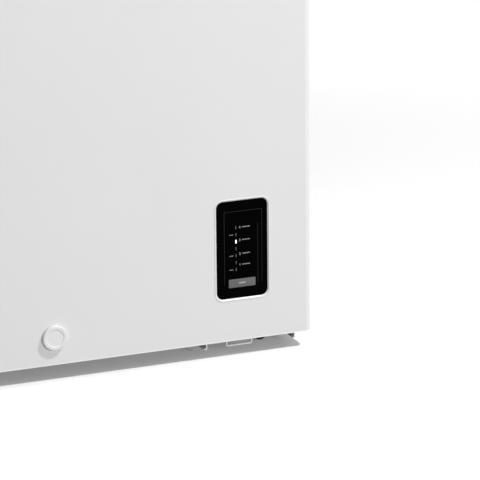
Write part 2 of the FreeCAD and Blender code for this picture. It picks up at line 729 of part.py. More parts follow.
def inner_liner():
    """The pressed liner of the storage space, with a flange turned out at its mouth."""
    x_span = ("-well_x - liner_flange", "well_x + liner_flange")
    y_span = ("well_front - liner_flange", "well_back + liner_flange")
    flange = block("liner_flange_sheet", x_span, y_span, ("rim_z - liner_sheet", "rim_z"))
    above = block("liner_above", x_span, y_span, ("rim_z", "rim_z + 2 * hem"))
    outside = cut("liner_outside_cut", well("liner_outside", "liner_sheet"), above)
    drain = rod("liner_drain_hole", "z", ("drain_x", "drain_y"), ("floor_z - hem", "floor_z + hem"),
                "pipe_round + neck_wall + 2 * snug")
    solid = fuse("liner_solid", outside, flange)
    piece("inner_liner", cut("liner_cut", solid, well("liner_inside", "0"), drain))


def top_frame():
    """The moulded frame on the rim: a lip outside, a flat top for the seal and a skirt in the mouth."""
    out = "(snug + frame_lip)"
    x_out = (f"-side_x - {out}", f"side_x + {out}")
    top_box = block("frame_box", x_out, (f"front_y - {out}", "back_y"), ("rim_z - frame_lip_drop", "frame_z"))
    top = rounded("frame_outside", top_box, f"corner_round + {out}", front_upright)
    cabinet_box = block("frame_cabinet_box", ("-side_x - snug", "side_x + snug"),
                        ("front_y - snug", "back_y + hem"), ("rim_z - 2 * hem", "rim_z"))
    cabinet = rounded("frame_cabinet", cabinet_box, "corner_round + snug", front_upright)
    skirt = mouth_block("frame_skirt_outside", "snug", ("rim_z - frame_skirt_drop", "rim_z"))
    mouth = mouth_block("frame_mouth", "mouth_in", ("rim_z - 2 * frame_skirt_drop", "rim_z + hem"))
    solid = fuse("frame_solid", cut("frame_lip_cut", top, cabinet), skirt)
    piece("top_frame", cut("frame_cut", solid, mouth))


def mouth_block(name, inset, z_span):
    """A block in the outline of the storage space's mouth, made smaller all round."""
    x_span = (f"-well_x + {inset}", f"well_x - {inset}")
    box = block(name + "_box", x_span, (f"well_front + {inset}", f"well_back - {inset}"), z_span)
    return rounded(name, box, f"liner_round - {inset}", along("z"))


def serpentine(near, left, front, back, turns, low, high, first_out, last_out, drop):
    """Corners of a tube that wraps the front, the left and the back, level by level, and ends at the back.

    near is the right end of the levels. The tube comes from first_out's x at the lowest level, and goes to
    last_out's x and z after a drop behind the levels' right ends.
    """
    levels = [f"{low} + ({high} - {low}) * {n} / ({turns} - 1)" for n in range(int(size(turns)))]
    corners = [(first_out, front, levels[0])]
    for number, level in enumerate(levels):
        ends = (front, back) if number % 2 == 0 else (back, front)
        if number > 0:
            corners.append((near, ends[0], level))
        corners += [(left, ends[0], level), (left, ends[1], level)]
        if number < len(levels) - 1:
            corners.append((near, ends[1], level))
    down = f"{near} + {drop}"
    corners += [(down, back, levels[-1]), (down, back, last_out[1]), (last_out[0], back, last_out[1])]
    return corners


def coil_routes():
    """The two coils' corners, bend radius and tube radius."""
    evaporator = serpentine("evap_right", "evap_left", "evap_front", "evap_back", "evap_turns", "evap_low",
                            "evap_high", "exit_x", ("exit_x", "port_z"), "tube_drop")
    condenser = serpentine("cond_right", "cond_left", "cond_front", "cond_back", "cond_turns", "cond_low",
                           "cond_high", "exit_x", ("exit_x", "cond_out"), "tube_drop")
    wrap = "liner_round + liner_sheet + tube_gap + evap_round"
    return {
        "evaporator_coil": (evaporator, size(wrap), "evap_round"),
        "condenser_coil": (condenser, size("cond_bend"), "cond_round"),
    }


def coils():
    """The evaporator tube round the liner and the condenser tube inside the wrapper."""
    for label, (corners, bend, radius) in coil_routes().items():
        tube(label, corners, bend, radius)


def foam_body():
    """The insulation foamed between wrapper and liner, with rooms for the tubes in it."""
    x_span = ("-side_x + skin", "side_x - skin")
    y_span = ("front_y + skin", "back_in")
    fill = common("foam_fill", block("foam_block", x_span, y_span, ("pan_z", "rim_z - skin")),
                  inside_box("foam_inside"))
    x_machine = ("machine_x", "side_x + hem")
    rooms = [
        block("foam_machine_room", x_machine, ("front_y - hem", "back_y + hem"), ("edge_up", "machine_z")),
        well("foam_well", "liner_sheet"),
        groove("foam_drain_room", drain_route(), size("pipe_bend"), "pipe_round + neck_wall + 2 * snug"),
        rod("foam_probe_room", "x", ("probe_y", "probe_z"), ("step_x", "machine_x + hem"),
            "probe_round + tube_gap"),
    ]
    for label, (corners, bend, radius) in coil_routes().items():
        rooms.append(groove(label + "_room", corners, bend, f"{radius} + tube_gap"))
    piece("foam_body", cut("foam_cut", fill, *rooms))


# ---------------------------------------------------------------- drain


def drain_route(beyond="0"):
    """The drain pipe's corners, from the storage space's floor to the front."""
    return [
        ("drain_x", "drain_y", f"floor_z - snug + {beyond}"),
        ("drain_x", "drain_y", "drain_z"),
        ("drain_x", f"front_y - collar_thick - {beyond}", "drain_z"),
    ]


def drain_pipe():
    """The bent pipe from the floor of the storage space to the front."""
    bend = size("pipe_bend")
    pipe = DOC.addObject("Part::Feature", "drain_pipe_outside")
    pipe.Shape = swept(bent_path([point(*c) for c in drain_route()], bend), size("pipe_round"))
    bore = DOC.addObject("Part::Feature", "drain_pipe_bore")
    bore.Shape = swept(bent_path([point(*c) for c in drain_route("1")], bend), size("pipe_bore"))
    piece("drain_pipe", cut("drain_pipe_cut", pipe, bore))


def drain_fittings():
    """The socket in the floor, the collar on the front, the cap on the collar and the plug in the socket."""
    neck_in = "pipe_round + snug"
    neck_out = "pipe_round + snug + neck_wall"
    socket = turned("socket_turned", "z", ("drain_x", "drain_y", "floor_z"), [
        ("socket_thick", "pipe_bore"),
        ("socket_thick", "socket_round"),
        ("0", "socket_round"),
        ("0", neck_out),
        ("-neck_long", neck_out),
        ("-neck_long", neck_in),
        ("0", neck_in),
        ("0", "pipe_bore"),
    ])
    piece("drain_socket", socket)
    collar = turned("collar_turned", "y", ("drain_x", "front_y", "drain_z"), [
        ("-collar_thick", neck_in),
        ("-collar_thick", "collar_round"),
        ("0", "collar_round"),
        ("0", neck_out),
        ("neck_long", neck_out),
        ("neck_long", neck_in),
    ])
    piece("drain_collar", collar)
    cap = turned("cap_turned", "y", ("drain_x", "front_y", "drain_z"), [
        ("-cap_proud + dish_deep", "0"),
        ("-cap_proud + dish_deep", "dish_round - dish_deep"),
        ("-cap_proud", "dish_round"),
        ("-cap_proud", "cap_round - cap_wall / 2"),
        ("-cap_proud + cap_wall / 2", "cap_round"),
        ("-snug", "cap_round"),
        ("-snug", "collar_round + cap_play"),
        ("-cap_proud + dish_deep + cap_wall", "collar_round + cap_play"),
        ("-cap_proud + dish_deep + cap_wall", "0"),
    ])
    piece("drain_cap", cap)
    stem = "pipe_bore - plug_gap"
    plug = turned("plug_turned", "z", ("drain_x", "drain_y", "floor_z + socket_thick"), [
        ("2 * socket_thick + grip_tall", "0"),
        ("2 * socket_thick + grip_tall", "0.8 * grip_round"),
        ("2 * socket_thick", "grip_round"),
        ("2 * socket_thick", "plug_flange"),
        ("snug", "plug_flange"),
        ("snug", stem),
        ("-neck_long", stem),
        ("-neck_long", "0"),
    ])
    piece("drain_plug", plug)


# ---------------------------------------------------------------- control panel


def control_bezel():
    """The moulded frame of the touch glass, sloped down to the glass all round."""
    flange = pane("bezel_flange", "bezel_rim", ("front_y - bezel_proud", "front_y"))
    body = pane("bezel_body", "snug + bezel_wall", ("front_y", "front_y + bezel_deep"))
    pocket = pane("bezel_pocket", "glass_gap", ("front_y - bezel_proud - hem", "glass_back"))
    window = pane("bezel_window", "-bezel_shelf", ("front_y - hem", "front_y + bezel_deep + hem"))
    frame = cut("bezel_cut", fuse("bezel_solid", flange, body), pocket, window)
    low, high = point("glass_left - 1", "0", "glass_low - 1"), point("glass_right + 1", "0", "glass_high + 1")
    on_face = at("y", "front_y - bezel_proud")

    def by_glass(edge):
        ends = [end.Point for end in edge.Vertexes]
        return on_face(edge) and all(low.x < e.x < high.x and low.z < e.z < high.z for e in ends)

    slope = size("bezel_slope")
    sloped = DOC.addObject("Part::Chamfer", "bezel_sloped")
    sloped.Base = frame
    sloped.Edges = [(number, slope, slope) for number in edges_where(frame.Shape, by_glass)]
    sloped.recompute()
    reach = size("bezel_rim") - 0.01

    def outer(edge):
        ends = [end.Point for end in edge.Vertexes]
        wide = (low.x + 1 - reach, high.x - 1 + reach)
        tall = (low.z + 1 - reach, high.z - 1 + reach)
        return on_face(edge) and any(not wide[0] < e.x < wide[1] or not tall[0] < e.z < tall[1] for e in ends)

    piece("control_bezel", rounded("bezel_rounded", sloped, "bezel_edge", outer))


def control_unit():
    """The touch glass, the housing behind the front panel, the board on its posts and the cables."""
    piece("control_glass", pane("glass_pane", "0", ("glass_front", "glass_back")))
    x_span = ("glass_left - box_edge", "glass_right + box_edge")
    z_span = ("glass_low - box_edge", "glass_high + box_edge")
    outside = block("housing_outside", x_span, ("front_y + skin", "box_back"), z_span)
    x_in = ("glass_left - box_edge + box_wall", "glass_right + box_edge - box_wall")
    z_in = ("glass_low - box_edge + box_wall", "glass_high + box_edge - box_wall")
    inside = block("housing_inside", x_in, ("front_y - hem", "box_back - box_wall"), z_in)
    passage = rod("housing_passage", "y", ("glass_mid", "harness_z"), ("box_back - hem", "box_back + hem"),
                  "harness_round + tube_gap")
    board_y = ("front_y + bezel_deep + board_back", "front_y + bezel_deep + board_back + board_thick")
    posts = []
    for n, x in enumerate(("glass_left + 3 * board_in", "glass_right - 3 * board_in")):
        for m, z in enumerate(("glass_low + 3 * board_in", "glass_high - 3 * board_in")):
            y_span = (board_y[1], "box_back - box_wall")
            posts.append(rod(f"housing_post_{n}{m}", "y", (x, z), y_span, "post_round"))
    shell = cut("housing_shell", outside, inside, passage)
    piece("control_box", fuse("housing_solid", shell, *posts))
    board = block("board_sheet", ("glass_left + board_in", "glass_right - board_in"), board_y,
                  ("glass_low + board_in", "glass_high - board_in"))
    piece("control_board", board)
    relay_front = "shell_y - shell_round - relay_deep"
    tube("control_harness", [
        ("glass_mid", board_y[1], "harness_z"),
        ("glass_mid", "box_back + 4 * box_deep", "harness_z"),
        ("shell_x", f"{relay_front} - 2 * box_deep", "relay_z"),
        ("shell_x", relay_front, "relay_z"),
    ], size("box_deep"), "harness_round")
    piece("temperature_probe", rod("probe_rod", "x", ("probe_y", "probe_z"),
                                   ("step_x + liner_sheet + snug", "machine_x + tube_exit"), "probe_round"))


# ---------------------------------------------------------------- tray, rails, loop and castors


def bolt_places():
    """Where the compressor's four mounting bolts stand."""
    return [(f"shell_x {x} foot_x / 2", f"shell_y {y} foot_y / 2") for x in "+-" for y in "+-"]


def bolt_holes(name, z_span):
    """Clearance holes for those bolts."""
    spots = enumerate(bolt_places())
    return [rod(f"{name}_{n}", "z", spot, z_span, "bolt_round + snug") for n, spot in spots]


def compressor_tray():
    """The floor of the machine space, a sheet with two upturned flanges."""
    flange = "tray_top + tray_flange"
    sheet = prism("tray_sheet", "y", ("front_y + skin + corner_round", "back_in"), [
        ("machine_x + skin", "rail_top"),
        ("side_x - skin", "rail_top"),
        ("side_x - skin", flange),
        ("side_x - skin - rail_sheet", flange),
        ("side_x - skin - rail_sheet", "tray_top"),
        ("machine_x + skin + rail_sheet", "tray_top"),
        ("machine_x + skin + rail_sheet", flange),
        ("machine_x + skin", flange),
    ])
    piece("compressor_tray", cut("tray_cut", sheet, *bolt_holes("tray_hole", ("web_z", "tray_top + 1"))))


def rail(name, side):
    """A channel under the cabinet from front to back, open below, with a lip along each flange."""
    outer, inner = "side_x - rail_in", "side_x - rail_in - rail_wide"
    corners = [
        (outer, "rail_z"),
        (outer, "rail_top"),
        (inner, "rail_top"),
        (inner, "rail_z + rail_sheet"),
        (f"{inner} - rail_lip", "rail_z + rail_sheet"),
        (f"{inner} - rail_lip", "rail_z"),
        (f"{inner} + rail_sheet", "rail_z"),
        (f"{inner} + rail_sheet", "web_z"),
        (f"{outer} - rail_sheet", "web_z"),
        (f"{outer} - rail_sheet", "rail_z + rail_sheet"),
        (f"{outer} - rail_lip", "rail_z + rail_sheet"),
        (f"{outer} - rail_lip", "rail_z"),
    ]
    points = [(x if side > 0 else f"-({x})", z) for x, z in corners]
    return prism(name, "y", ("front_y + rail_back", "back_in - rail_back"), points)


def rails():
    """The right rail, bolted under the compressor tray, the left rail, and the loop near the front."""
    right = rail("right_rail_sheet", 1)
    piece("right_rail", cut("right_rail_cut", right, *bolt_holes("rail_hole", ("web_z - 1", "rail_top + 1"))))
    piece("left_rail", rail("left_rail_sheet", -1))
    loop_y = "front_y + rail_back + loop_wire"
    right_x, left_x = "side_x - loop_in - loop_wire", "side_x - loop_in - loop_wide + loop_wire"
    low = "edge_up - loop_drop + loop_wire"
    tube("front_loop", [
        (left_x, loop_y, "web_z"),
        (left_x, loop_y, low),
        (right_x, loop_y, low),
        (right_x, loop_y, "web_z"),
    ], size("loop_round"), "loop_wire")


CASTORS = {
    "front_left": ("-side_x + castor_in_x", "front_y + castor_in_y"),
    "front_right": ("side_x - castor_in_x", "front_y + castor_in_y"),
    "rear_left": ("-side_x + castor_in_x", "back_y - castor_in_y"),
    "rear_right": ("side_x - castor_in_x", "back_y - castor_in_y"),
}


def castors():
    """Four castors: a plate with its pivot on the rail, a swivelling fork with its axle, and a wheel."""
    plate_low = "web_z - mount_sheet"
    crown_low = "2 * wheel_round + crown_up"
    mounts = []
    for corner, (x, y) in CASTORS.items():
        half = "mount_wide / 2"
        plate = block(f"mount_plate_{corner}", (f"{x} - {half}", f"{x} + {half}"),
                      (f"{y} - {half}", f"{y} + {half}"), (plate_low, "web_z"))
        under = f"{crown_low} - snug"
        pivot = rod(f"mount_pivot_{corner}", "z", (x, y), (under, "web_z"), "pivot_round")
        rivet = rod(f"mount_rivet_{corner}", "z", (x, y), (f"{under} - mount_sheet", under), "rivet_round")
        mounts.append(fuse(f"mount_{corner}", plate, pivot, rivet))
        castor(corner, x, y, crown_low, plate_low)
    piece("castor_mounts", group("mounts", *mounts))


def castor(corner, x, y, crown_low, plate_low):
    """One castor's fork with its axle, and its wheel, trailing to the left."""
    crown = rod(f"crown_{corner}", "z", (x, y), (crown_low, f"{plate_low} - snug"), "head_round")
    axle_x = f"{x} - wheel_trail"
    foot = "2 * axle_round"
    cheek_points = [
        (f"{axle_x} - {foot}", f"wheel_round - {foot}"),
        (f"{axle_x} + {foot}", f"wheel_round - {foot}"),
        (f"{x} + head_round / 2", f"{crown_low} + fork_sheet"),
        (f"{x} - head_round / 2 - {foot}", f"{crown_low} + fork_sheet"),
    ]
    near = "wheel_wide / 2 + side_gap"
    far = "wheel_wide / 2 + side_gap + fork_sheet"
    cheeks = [
        prism(f"cheek_front_{corner}", "y", (f"{y} - ({far})", f"{y} - ({near})"), cheek_points),
        prism(f"cheek_rear_{corner}", "y", (f"{y} + {near}", f"{y} + {far}"), cheek_points),
    ]
    across = (f"{y} - 2 * wheel_wide", f"{y} + 2 * wheel_wide")
    bores = [
        rod(f"crown_bore_{corner}", "z", (x, y), (f"{crown_low} - 1", "web_z"), "pivot_round + run_gap"),
        rod(f"cheek_bore_{corner}", "y", (axle_x, "wheel_round"), across, "axle_round + run_gap"),
    ]
    fork = cut(f"fork_{corner}", fuse(f"fork_solid_{corner}", crown, *cheeks), *bores)
    axle = turned(f"axle_{corner}", "y", (axle_x, y, "wheel_round"), [
        (f"-({far}) - axle_head", "0"),
        (f"-({far}) - axle_head", "axle_round + axle_head"),
        (f"-({far})", "axle_round + axle_head"),
        (f"-({far})", "axle_round"),
        (far, "axle_round"),
        (far, "axle_round + axle_head"),
        (f"{far} + axle_head", "axle_round + axle_head"),
        (f"{far} + axle_head", "0"),
    ])
    piece(f"castor_fork_{corner}", group(f"fork_parts_{corner}", fork, axle))
    half = "wheel_wide / 2"
    bore = "axle_round + run_gap"
    floor = "wheel_wide / 2 - wheel_dish"
    face = [
        (half, bore),
        (half, "wheel_hub"),
        (floor, "wheel_hub + wheel_dish / 2"),
        (floor, "wheel_rim - wheel_dish / 2"),
        (half, "wheel_rim"),
        (half, "wheel_round - wheel_dish"),
        (floor, "wheel_round"),
    ]
    mirrored = [(f"-({place})", radius) for place, radius in reversed(face)]
    wheel = turned(f"wheel_{corner}", "y", (axle_x, y, "wheel_round"), face + mirrored)
    piece(f"castor_wheel_{corner}", wheel)


# ---------------------------------------------------------------- compressor and pipes


def compressor():
    """The hermetic compressor on its foot plate, with rubber mounts and bolts through tray and rail."""
    top = "shell_z + shell_tall"
    middle_z = "(2 * shell_z + shell_tall) / 2"
    shell = turned("shell_turned", "z", ("shell_x", "shell_y", "0"), [
        ("shell_z", "0"),
        ("shell_z", "shell_round"),
        (f"{middle_z} - foot_sheet", "shell_round"),
        (f"{middle_z} - foot_sheet", "shell_round + shell_seam"),
        (f"{middle_z} + foot_sheet", "shell_round + shell_seam"),
        (f"{middle_z} + foot_sheet", "shell_round"),
        (top, "shell_round"),
        (top, "0"),
    ])
    at_foot, at_top = at("z", "shell_z"), at("z", top)
    soften(shell, "shell_edge", lambda edge: at_foot(edge) or at_top(edge))
    room = turned("shell_room", "z", ("shell_x", "shell_y", "0"), [
        ("shell_z + shell_wall", "0"),
        ("shell_z + shell_wall", "shell_round - shell_wall"),
        (f"{top} - shell_wall", "shell_round - shell_wall"),
        (f"{top} - shell_wall", "0"),
    ])
    in_foot, in_top = at("z", "shell_z + shell_wall"), at("z", f"{top} - shell_wall")
    soften(room, "shell_edge - shell_wall", lambda edge: in_foot(edge) or in_top(edge))
    piece("compressor_shell", cut("shell_cut", shell, room))
    pump = turned("pump_turned", "z", ("shell_x", "shell_y", "shell_z + shell_wall"), [
        ("snug", "0"),
        ("snug", "pump_round / 2"),
        ("pump_up", "pump_round / 2"),
        ("pump_up", "pump_round"),
        ("pump_up + pump_tall", "pump_round"),
        ("pump_up + pump_tall", "0"),
    ])
    piece("compressor_pump", pump)
    x_span = ("shell_x - foot_x / 2 - foot_edge", "shell_x + foot_x / 2 + foot_edge")
    y_span = ("shell_y - foot_y / 2 - foot_edge", "shell_y + foot_y / 2 + foot_edge")
    blank = block("foot_block", x_span, y_span, ("foot_z", "shell_z"))
    plate = rounded("foot_plate", blank, "foot_round", along("z"))
    holes = [rod(f"foot_hole_{n}", "z", spot, ("foot_z - 1", "shell_z + 1"), "grommet_neck + snug")
             for n, spot in enumerate(bolt_places())]
    piece("compressor_base", cut("foot_cut", plate, *holes))
    grommets, bolts = [], []
    for n, (x, y) in enumerate(bolt_places()):
        bore = "bolt_round + snug"
        grommets.append(turned(f"grommet_{n}", "z", (x, y, "0"), [
            ("tray_top", bore),
            ("tray_top", "grommet_round"),
            ("foot_z", "grommet_round"),
            ("foot_z", "grommet_neck"),
            ("shell_z", "grommet_neck"),
            ("shell_z", "grommet_top"),
            ("shell_z + foot_sheet", "grommet_top"),
            ("shell_z + foot_sheet", bore),
        ]))
        head = "shell_z + foot_sheet"
        bolts.append(turned(f"bolt_{n}", "z", (x, y, "0"), [
            ("web_z - bolt_round", "0"),
            ("web_z - bolt_round", "bolt_nut"),
            ("web_z", "bolt_nut"),
            ("web_z", "bolt_round"),
            (head, "bolt_round"),
            (head, "bolt_head"),
            (f"{head} + bolt_round", "bolt_head"),
            (f"{head} + bolt_round", "0"),
        ]))
    piece("compressor_grommets", group("grommets", *grommets))
    piece("compressor_bolts", group("bolts", *bolts))
    relay_z = ("relay_z - relay_tall / 2", "relay_z + relay_tall / 2")
    relay = block("relay_block", ("shell_x - relay_wide / 2", "shell_x + relay_wide / 2"),
                  ("shell_y - shell_round - relay_deep", "shell_y - shell_round / 2"), relay_z)
    around = rod("relay_around", "z", ("shell_x", "shell_y"), ("shell_z", top),
                 "shell_round + shell_seam + snug")
    piece("relay_cover", cut("relay_cut", relay, around))


def pipes():
    """The pipes in the machine space, each meeting its neighbour face to face."""
    tube("suction_pipe", [
        ("exit_x", "evap_back", "port_z"),
        ("riser_x", "evap_back", "port_z"),
        ("riser_x", "shell_y", "port_z"),
        ("shell_x - shell_round", "shell_y", "port_z"),
    ], size("cond_bend"), "evap_round")
    tube("discharge_pipe", [
        ("shell_x", "shell_y - shell_round", "cond_low"),
        ("shell_x", "shell_y - shell_round - discharge_reach", "cond_low"),
        ("riser_x", "shell_y - shell_round - discharge_reach", "cond_low"),
        ("riser_x", "cond_front", "cond_low"),
        ("exit_x", "cond_front", "cond_low"),
    ], size("cond_bend"), "cond_round")
    drier_end = "cond_back - drier_in"
    stub = DOC.addObject("Part::Feature", "drier_stub")
    route = [("exit_x", "cond_back", "cond_out"), ("riser_x", "cond_back", "cond_out"),
             ("riser_x", f"{drier_end} - drier_round", "cond_out")]
    stub.Shape = swept(bent_path([point(*c) for c in route], size("cond_bend")), size("cond_round"))
    body = turned("drier_body", "y", ("riser_x", drier_end, "cond_out"), [
        ("0", "0"),
        ("0", "drier_neck"),
        ("-drier_round", "drier_round"),
        ("-drier_long + drier_round", "drier_round"),
        ("-drier_long", "cond_round"),
        ("-drier_long", "0"),
    ])
    piece("filter_drier", fuse("drier_solid", stub, body))
    tube("capillary_tube", [
        ("riser_x", f"{drier_end} - drier_long", "cond_out"),
        ("riser_x", "evap_front", "cond_out"),
        ("riser_x", "evap_front", "evap_low"),
        ("exit_x", "evap_front", "evap_low"),
    ], size("cond_bend"), "capillary_round")


# ---------------------------------------------------------------- grilles, gland and screws


def slots(name, through, across, low, high):
    """Rows of slots between two heights. through and across are the spans along x and y or y and x."""
    rows = int((size(high) - size(low)) // size("slot_pitch"))
    tools = []
    for row in range(rows):
        middle = f"{low} + ({row} + 0.5) * slot_pitch"
        z_span = (f"{middle} - slot_tall / 2", f"{middle} + slot_tall / 2")
        for column, (near, far) in enumerate(across):
            tools.append(block(f"{name}_{row}_{column}", *through(near, far), z_span))
    return tools


def side_grille():
    """The slotted grille on the right side panel, clipped into the panel's hole."""
    edge = "grille_edge"
    y_low, y_high = "grille_y - grille_deep / 2", "grille_y + grille_deep / 2"
    z_low, z_high = "edge_up + grille_up - grille_tall / 2", "edge_up + grille_up + grille_tall / 2"
    plate = block("side_plate", ("side_x", "side_x + grille_sheet"),
                  (f"{y_low} - {edge}", f"{y_high} + {edge}"), (f"{z_low} - {edge}", f"{z_high} + {edge}"))
    tongue_out = block("side_tongue_outside", ("side_x - hem / 2", "side_x"),
                       (f"{y_low} + snug", f"{y_high} - snug"), (f"{z_low} + snug", f"{z_high} - snug"))
    tongue_in = block("side_tongue_inside", ("side_x - hem", "side_x"),
                      (f"{y_low} + grille_sheet", f"{y_high} - grille_sheet"),
                      (f"{z_low} + grille_sheet", f"{z_high} - grille_sheet"))
    tongue = cut("side_tongue", tongue_out, tongue_in)
    columns = [(f"{y_low} + {edge}", "grille_y - slot_tall / 2"),
               ("grille_y + slot_tall / 2", f"{y_high} - {edge}")]
    tools = slots("side_slot", lambda near, far: (("side_x - 1", "side_x + hem"), (near, far)), columns,
                  f"{z_low} + {edge} / 2", f"{z_high} - {edge} / 2")
    piece("side_grille", cut("side_grille_cut", fuse("side_grille_solid", plate, tongue), *tools))


def rear_cover():
    """The slotted cover over the machine space's opening in the back, with the gland for the mains lead."""
    x_low, x_high = "machine_x + cover_edge", "side_x - cover_edge"
    z_low, z_high = "edge_up + cover_edge", "edge_up + cover_tall + cover_edge"
    plate = block("cover_plate", (x_low, x_high), ("back_y", "back_y + leaf_sheet"), (z_low, z_high))
    middle = f"(({x_low}) + ({x_high})) / 2"
    columns = [(f"{x_low} + 2 * cover_edge", f"{middle} - slot_tall / 2"),
               (f"{middle} + slot_tall / 2", f"{x_high} - 2 * cover_edge")]
    tools = slots("cover_slot", lambda near, far: ((near, far), ("back_y - 1", "back_y + hem")), columns,
                  "edge_up + gland_up + 2 * cover_edge", f"{z_high} - 2 * cover_edge")
    gland_place = ("side_x - gland_in", "edge_up + gland_up")
    hole = rod("cover_gland_hole", "y", gland_place, ("back_y - 1", "back_y + hem"), "gland_body + run_gap")
    holes = screw_holes("cover_hole", ("back_y - 1", "back_y + hem"))
    piece("rear_cover", cut("cover_cut", plate, *tools, hole, *holes))
    face = "leaf_sheet"
    gland = turned("gland_turned", "y", (gland_place[0], "back_y", gland_place[1]), [
        (f"{face} + leaf_sheet", "gland_bore"),
        (f"{face} + leaf_sheet", "gland_body"),
        (face, "gland_face"),
        (face, "gland_body"),
        ("0", "gland_body"),
        ("0", "gland_clip"),
        ("-leaf_sheet", "gland_clip"),
        (f"{face} + leaf_sheet - gland_long", "gland_tail"),
        (f"{face} + leaf_sheet - gland_long", "gland_bore"),
    ])
    piece("cord_gland", gland)
    screws = []
    for n, (x, z) in enumerate(screw_places()):
        screws.append(turned(f"screw_{n}", "y", (x, "back_y", z), [
            ("-skin", "0"),
            ("-skin", "screw_round"),
            ("leaf_sheet", "screw_round"),
            ("leaf_sheet", "screw_head"),
            ("leaf_sheet + screw_round / 2", "screw_head"),
            ("leaf_sheet + screw_round", "screw_head / 2"),
            ("leaf_sheet + screw_round", "0"),
        ]))
    piece("rear_screws", group("screws", *screws))


# ---------------------------------------------------------------- lid


def lid_block(name, inset, z_span):
    """A block in the lid's outline, made smaller all round."""
    x_span = (f"-side_x - lid_side + {inset}", f"side_x + lid_side - {inset}")
    return block(name, x_span, (f"lid_face + {inset}", f"lid_rear - {inset}"), z_span)


def domed(name, inset, z_span):
    """A lid-shaped block with round upright corners and round upper edges."""
    blank = lid_block(name + "_block", inset, z_span)
    sides = rounded(name + "_sides", blank, f"lid_corner - {inset}", along("z"))
    return rounded(name, sides, f"lid_edge - {inset}", at("z", z_span[1]))


def plug_block(name, inset, z_span):
    """A block in the outline of the lid's plug, made smaller all round."""
    box = block(name + "_box", (f"-plug_x + {inset}", f"plug_x - {inset}"),
                (f"well_front + plug_in + {inset}", f"well_back - plug_in - {inset}"), z_span)
    return rounded(name, box, f"liner_round - {inset}", along("z"))


def lid():
    """The lid: a painted skin, an inner panel round a plug, foam between them and a seal below."""
    outside = domed("lid_outside", "0", ("lid_low", "lid_top"))
    inside = domed("lid_inside", "skin", ("lid_low + skin", "lid_top - skin"))
    below = lid_block("lid_below", "lid_hem", ("lid_low - 1", "lid_low + lid_hem"))
    piece("lid_skin", cut("lid_skin_cut", outside, inside, below))
    edge = "(skin + snug)"
    slab_box = lid_block("panel_slab_box", edge, ("lid_low + skin", "sheet_top"))
    slab = rounded("panel_slab", slab_box, f"lid_corner - {edge}", along("z"))
    void = lid_block("panel_void", f"({edge} + border)", ("lid_low", "channel_z"))
    plug = plug_block("panel_plug", "0", ("plug_z", "sheet_top"))
    border_fill = border_ring("panel_border_room")
    plug_fill = plug_block("panel_plug_room", "lid_sheet", ("plug_z + lid_sheet", "sheet_top + hem"))
    plug_hole = plug_block("panel_plug_hole", "0", ("plug_z", "sheet_top + hem"))
    piece("lid_liner", cut("panel_cut", cut("panel_channel", slab, void), border_fill, plug_hole))
    piece("lid_plug", cut("plug_cut", plug, plug_fill))
    main = common("lid_foam_main", domed("lid_foam_inside", "skin", ("lid_low + skin", "lid_top - skin")),
                  lid_block("lid_foam_band", "0", ("sheet_top", "lid_top")))
    plug_foam = plug_block("lid_foam_plug", "lid_sheet", ("plug_z + lid_sheet", "sheet_top"))
    piece("lid_foam", fuse("lid_foam_solid", main, border_ring("lid_foam_border"), plug_foam))
    seal_span = ("frame_z + snug", "channel_z")
    seal_out = seal_block("seal_outside", "seal_in", seal_span)
    seal_in = seal_block("seal_inside", "seal_in + seal_wide", ("rim_z", "lid_top"))
    piece("lid_gasket", cut("seal_cut", seal_out, seal_in))


def border_ring(name):
    """The room over the inner panel's border."""
    edge = "(skin + snug)"
    z_span = ("lid_low + skin + lid_sheet", "sheet_top")
    blank = lid_block(name + "_outside_box", edge, z_span)
    outer = rounded(name + "_outside", blank, f"lid_corner - {edge}", along("z"))
    inner = lid_block(name + "_inside", f"({edge} + border - lid_sheet)", ("lid_low", "lid_top"))
    return cut(name, outer, inner)


def seal_block(name, inset, z_span):
    """A block in the seal's outline, measured in from the cabinet's sides."""
    box = block(name + "_box", (f"-side_x + {inset}", f"side_x - ({inset})"),
                (f"front_y + {inset}", f"back_y - ({inset})"), z_span)
    return rounded(name, box, f"seal_in + seal_corner - ({inset})", along("z"))


def lid_handle():
    """The grip on the lid's front, hollow and open below for the fingers, with a boss for the lock."""
    half = "handle_wide / 2"
    front = "lid_face - handle_deep"
    low, high = "lid_low - handle_drop", "lid_low + handle_up"
    body = block("handle_block", (f"-{half}", half), (front, "lid_face"), (low, high))
    shaped = rounded("handle_shaped", body, "2 * handle_wall", at("y", front))
    wall = "handle_wall"
    pocket = block("handle_pocket", (f"-{half} + {wall}", f"{half} - {wall}"),
                   (f"{front} + {wall}", "lid_face + 1"), (f"{low} - 1", f"{high} - 2 * {wall}"))
    place = ("0", "lock_z")
    boss = rod("handle_boss", "y", place, (f"{front} + {wall} / 2", "lid_face"), "boss_round")
    bore = rod("handle_bore", "y", place, (f"{front} - 1", "lid_face + 1"), "lock_round + run_gap")
    solid = fuse("handle_solid", cut("handle_hollow", shaped, pocket), boss)
    piece("lid_handle", cut("handle_cut", solid, bore))


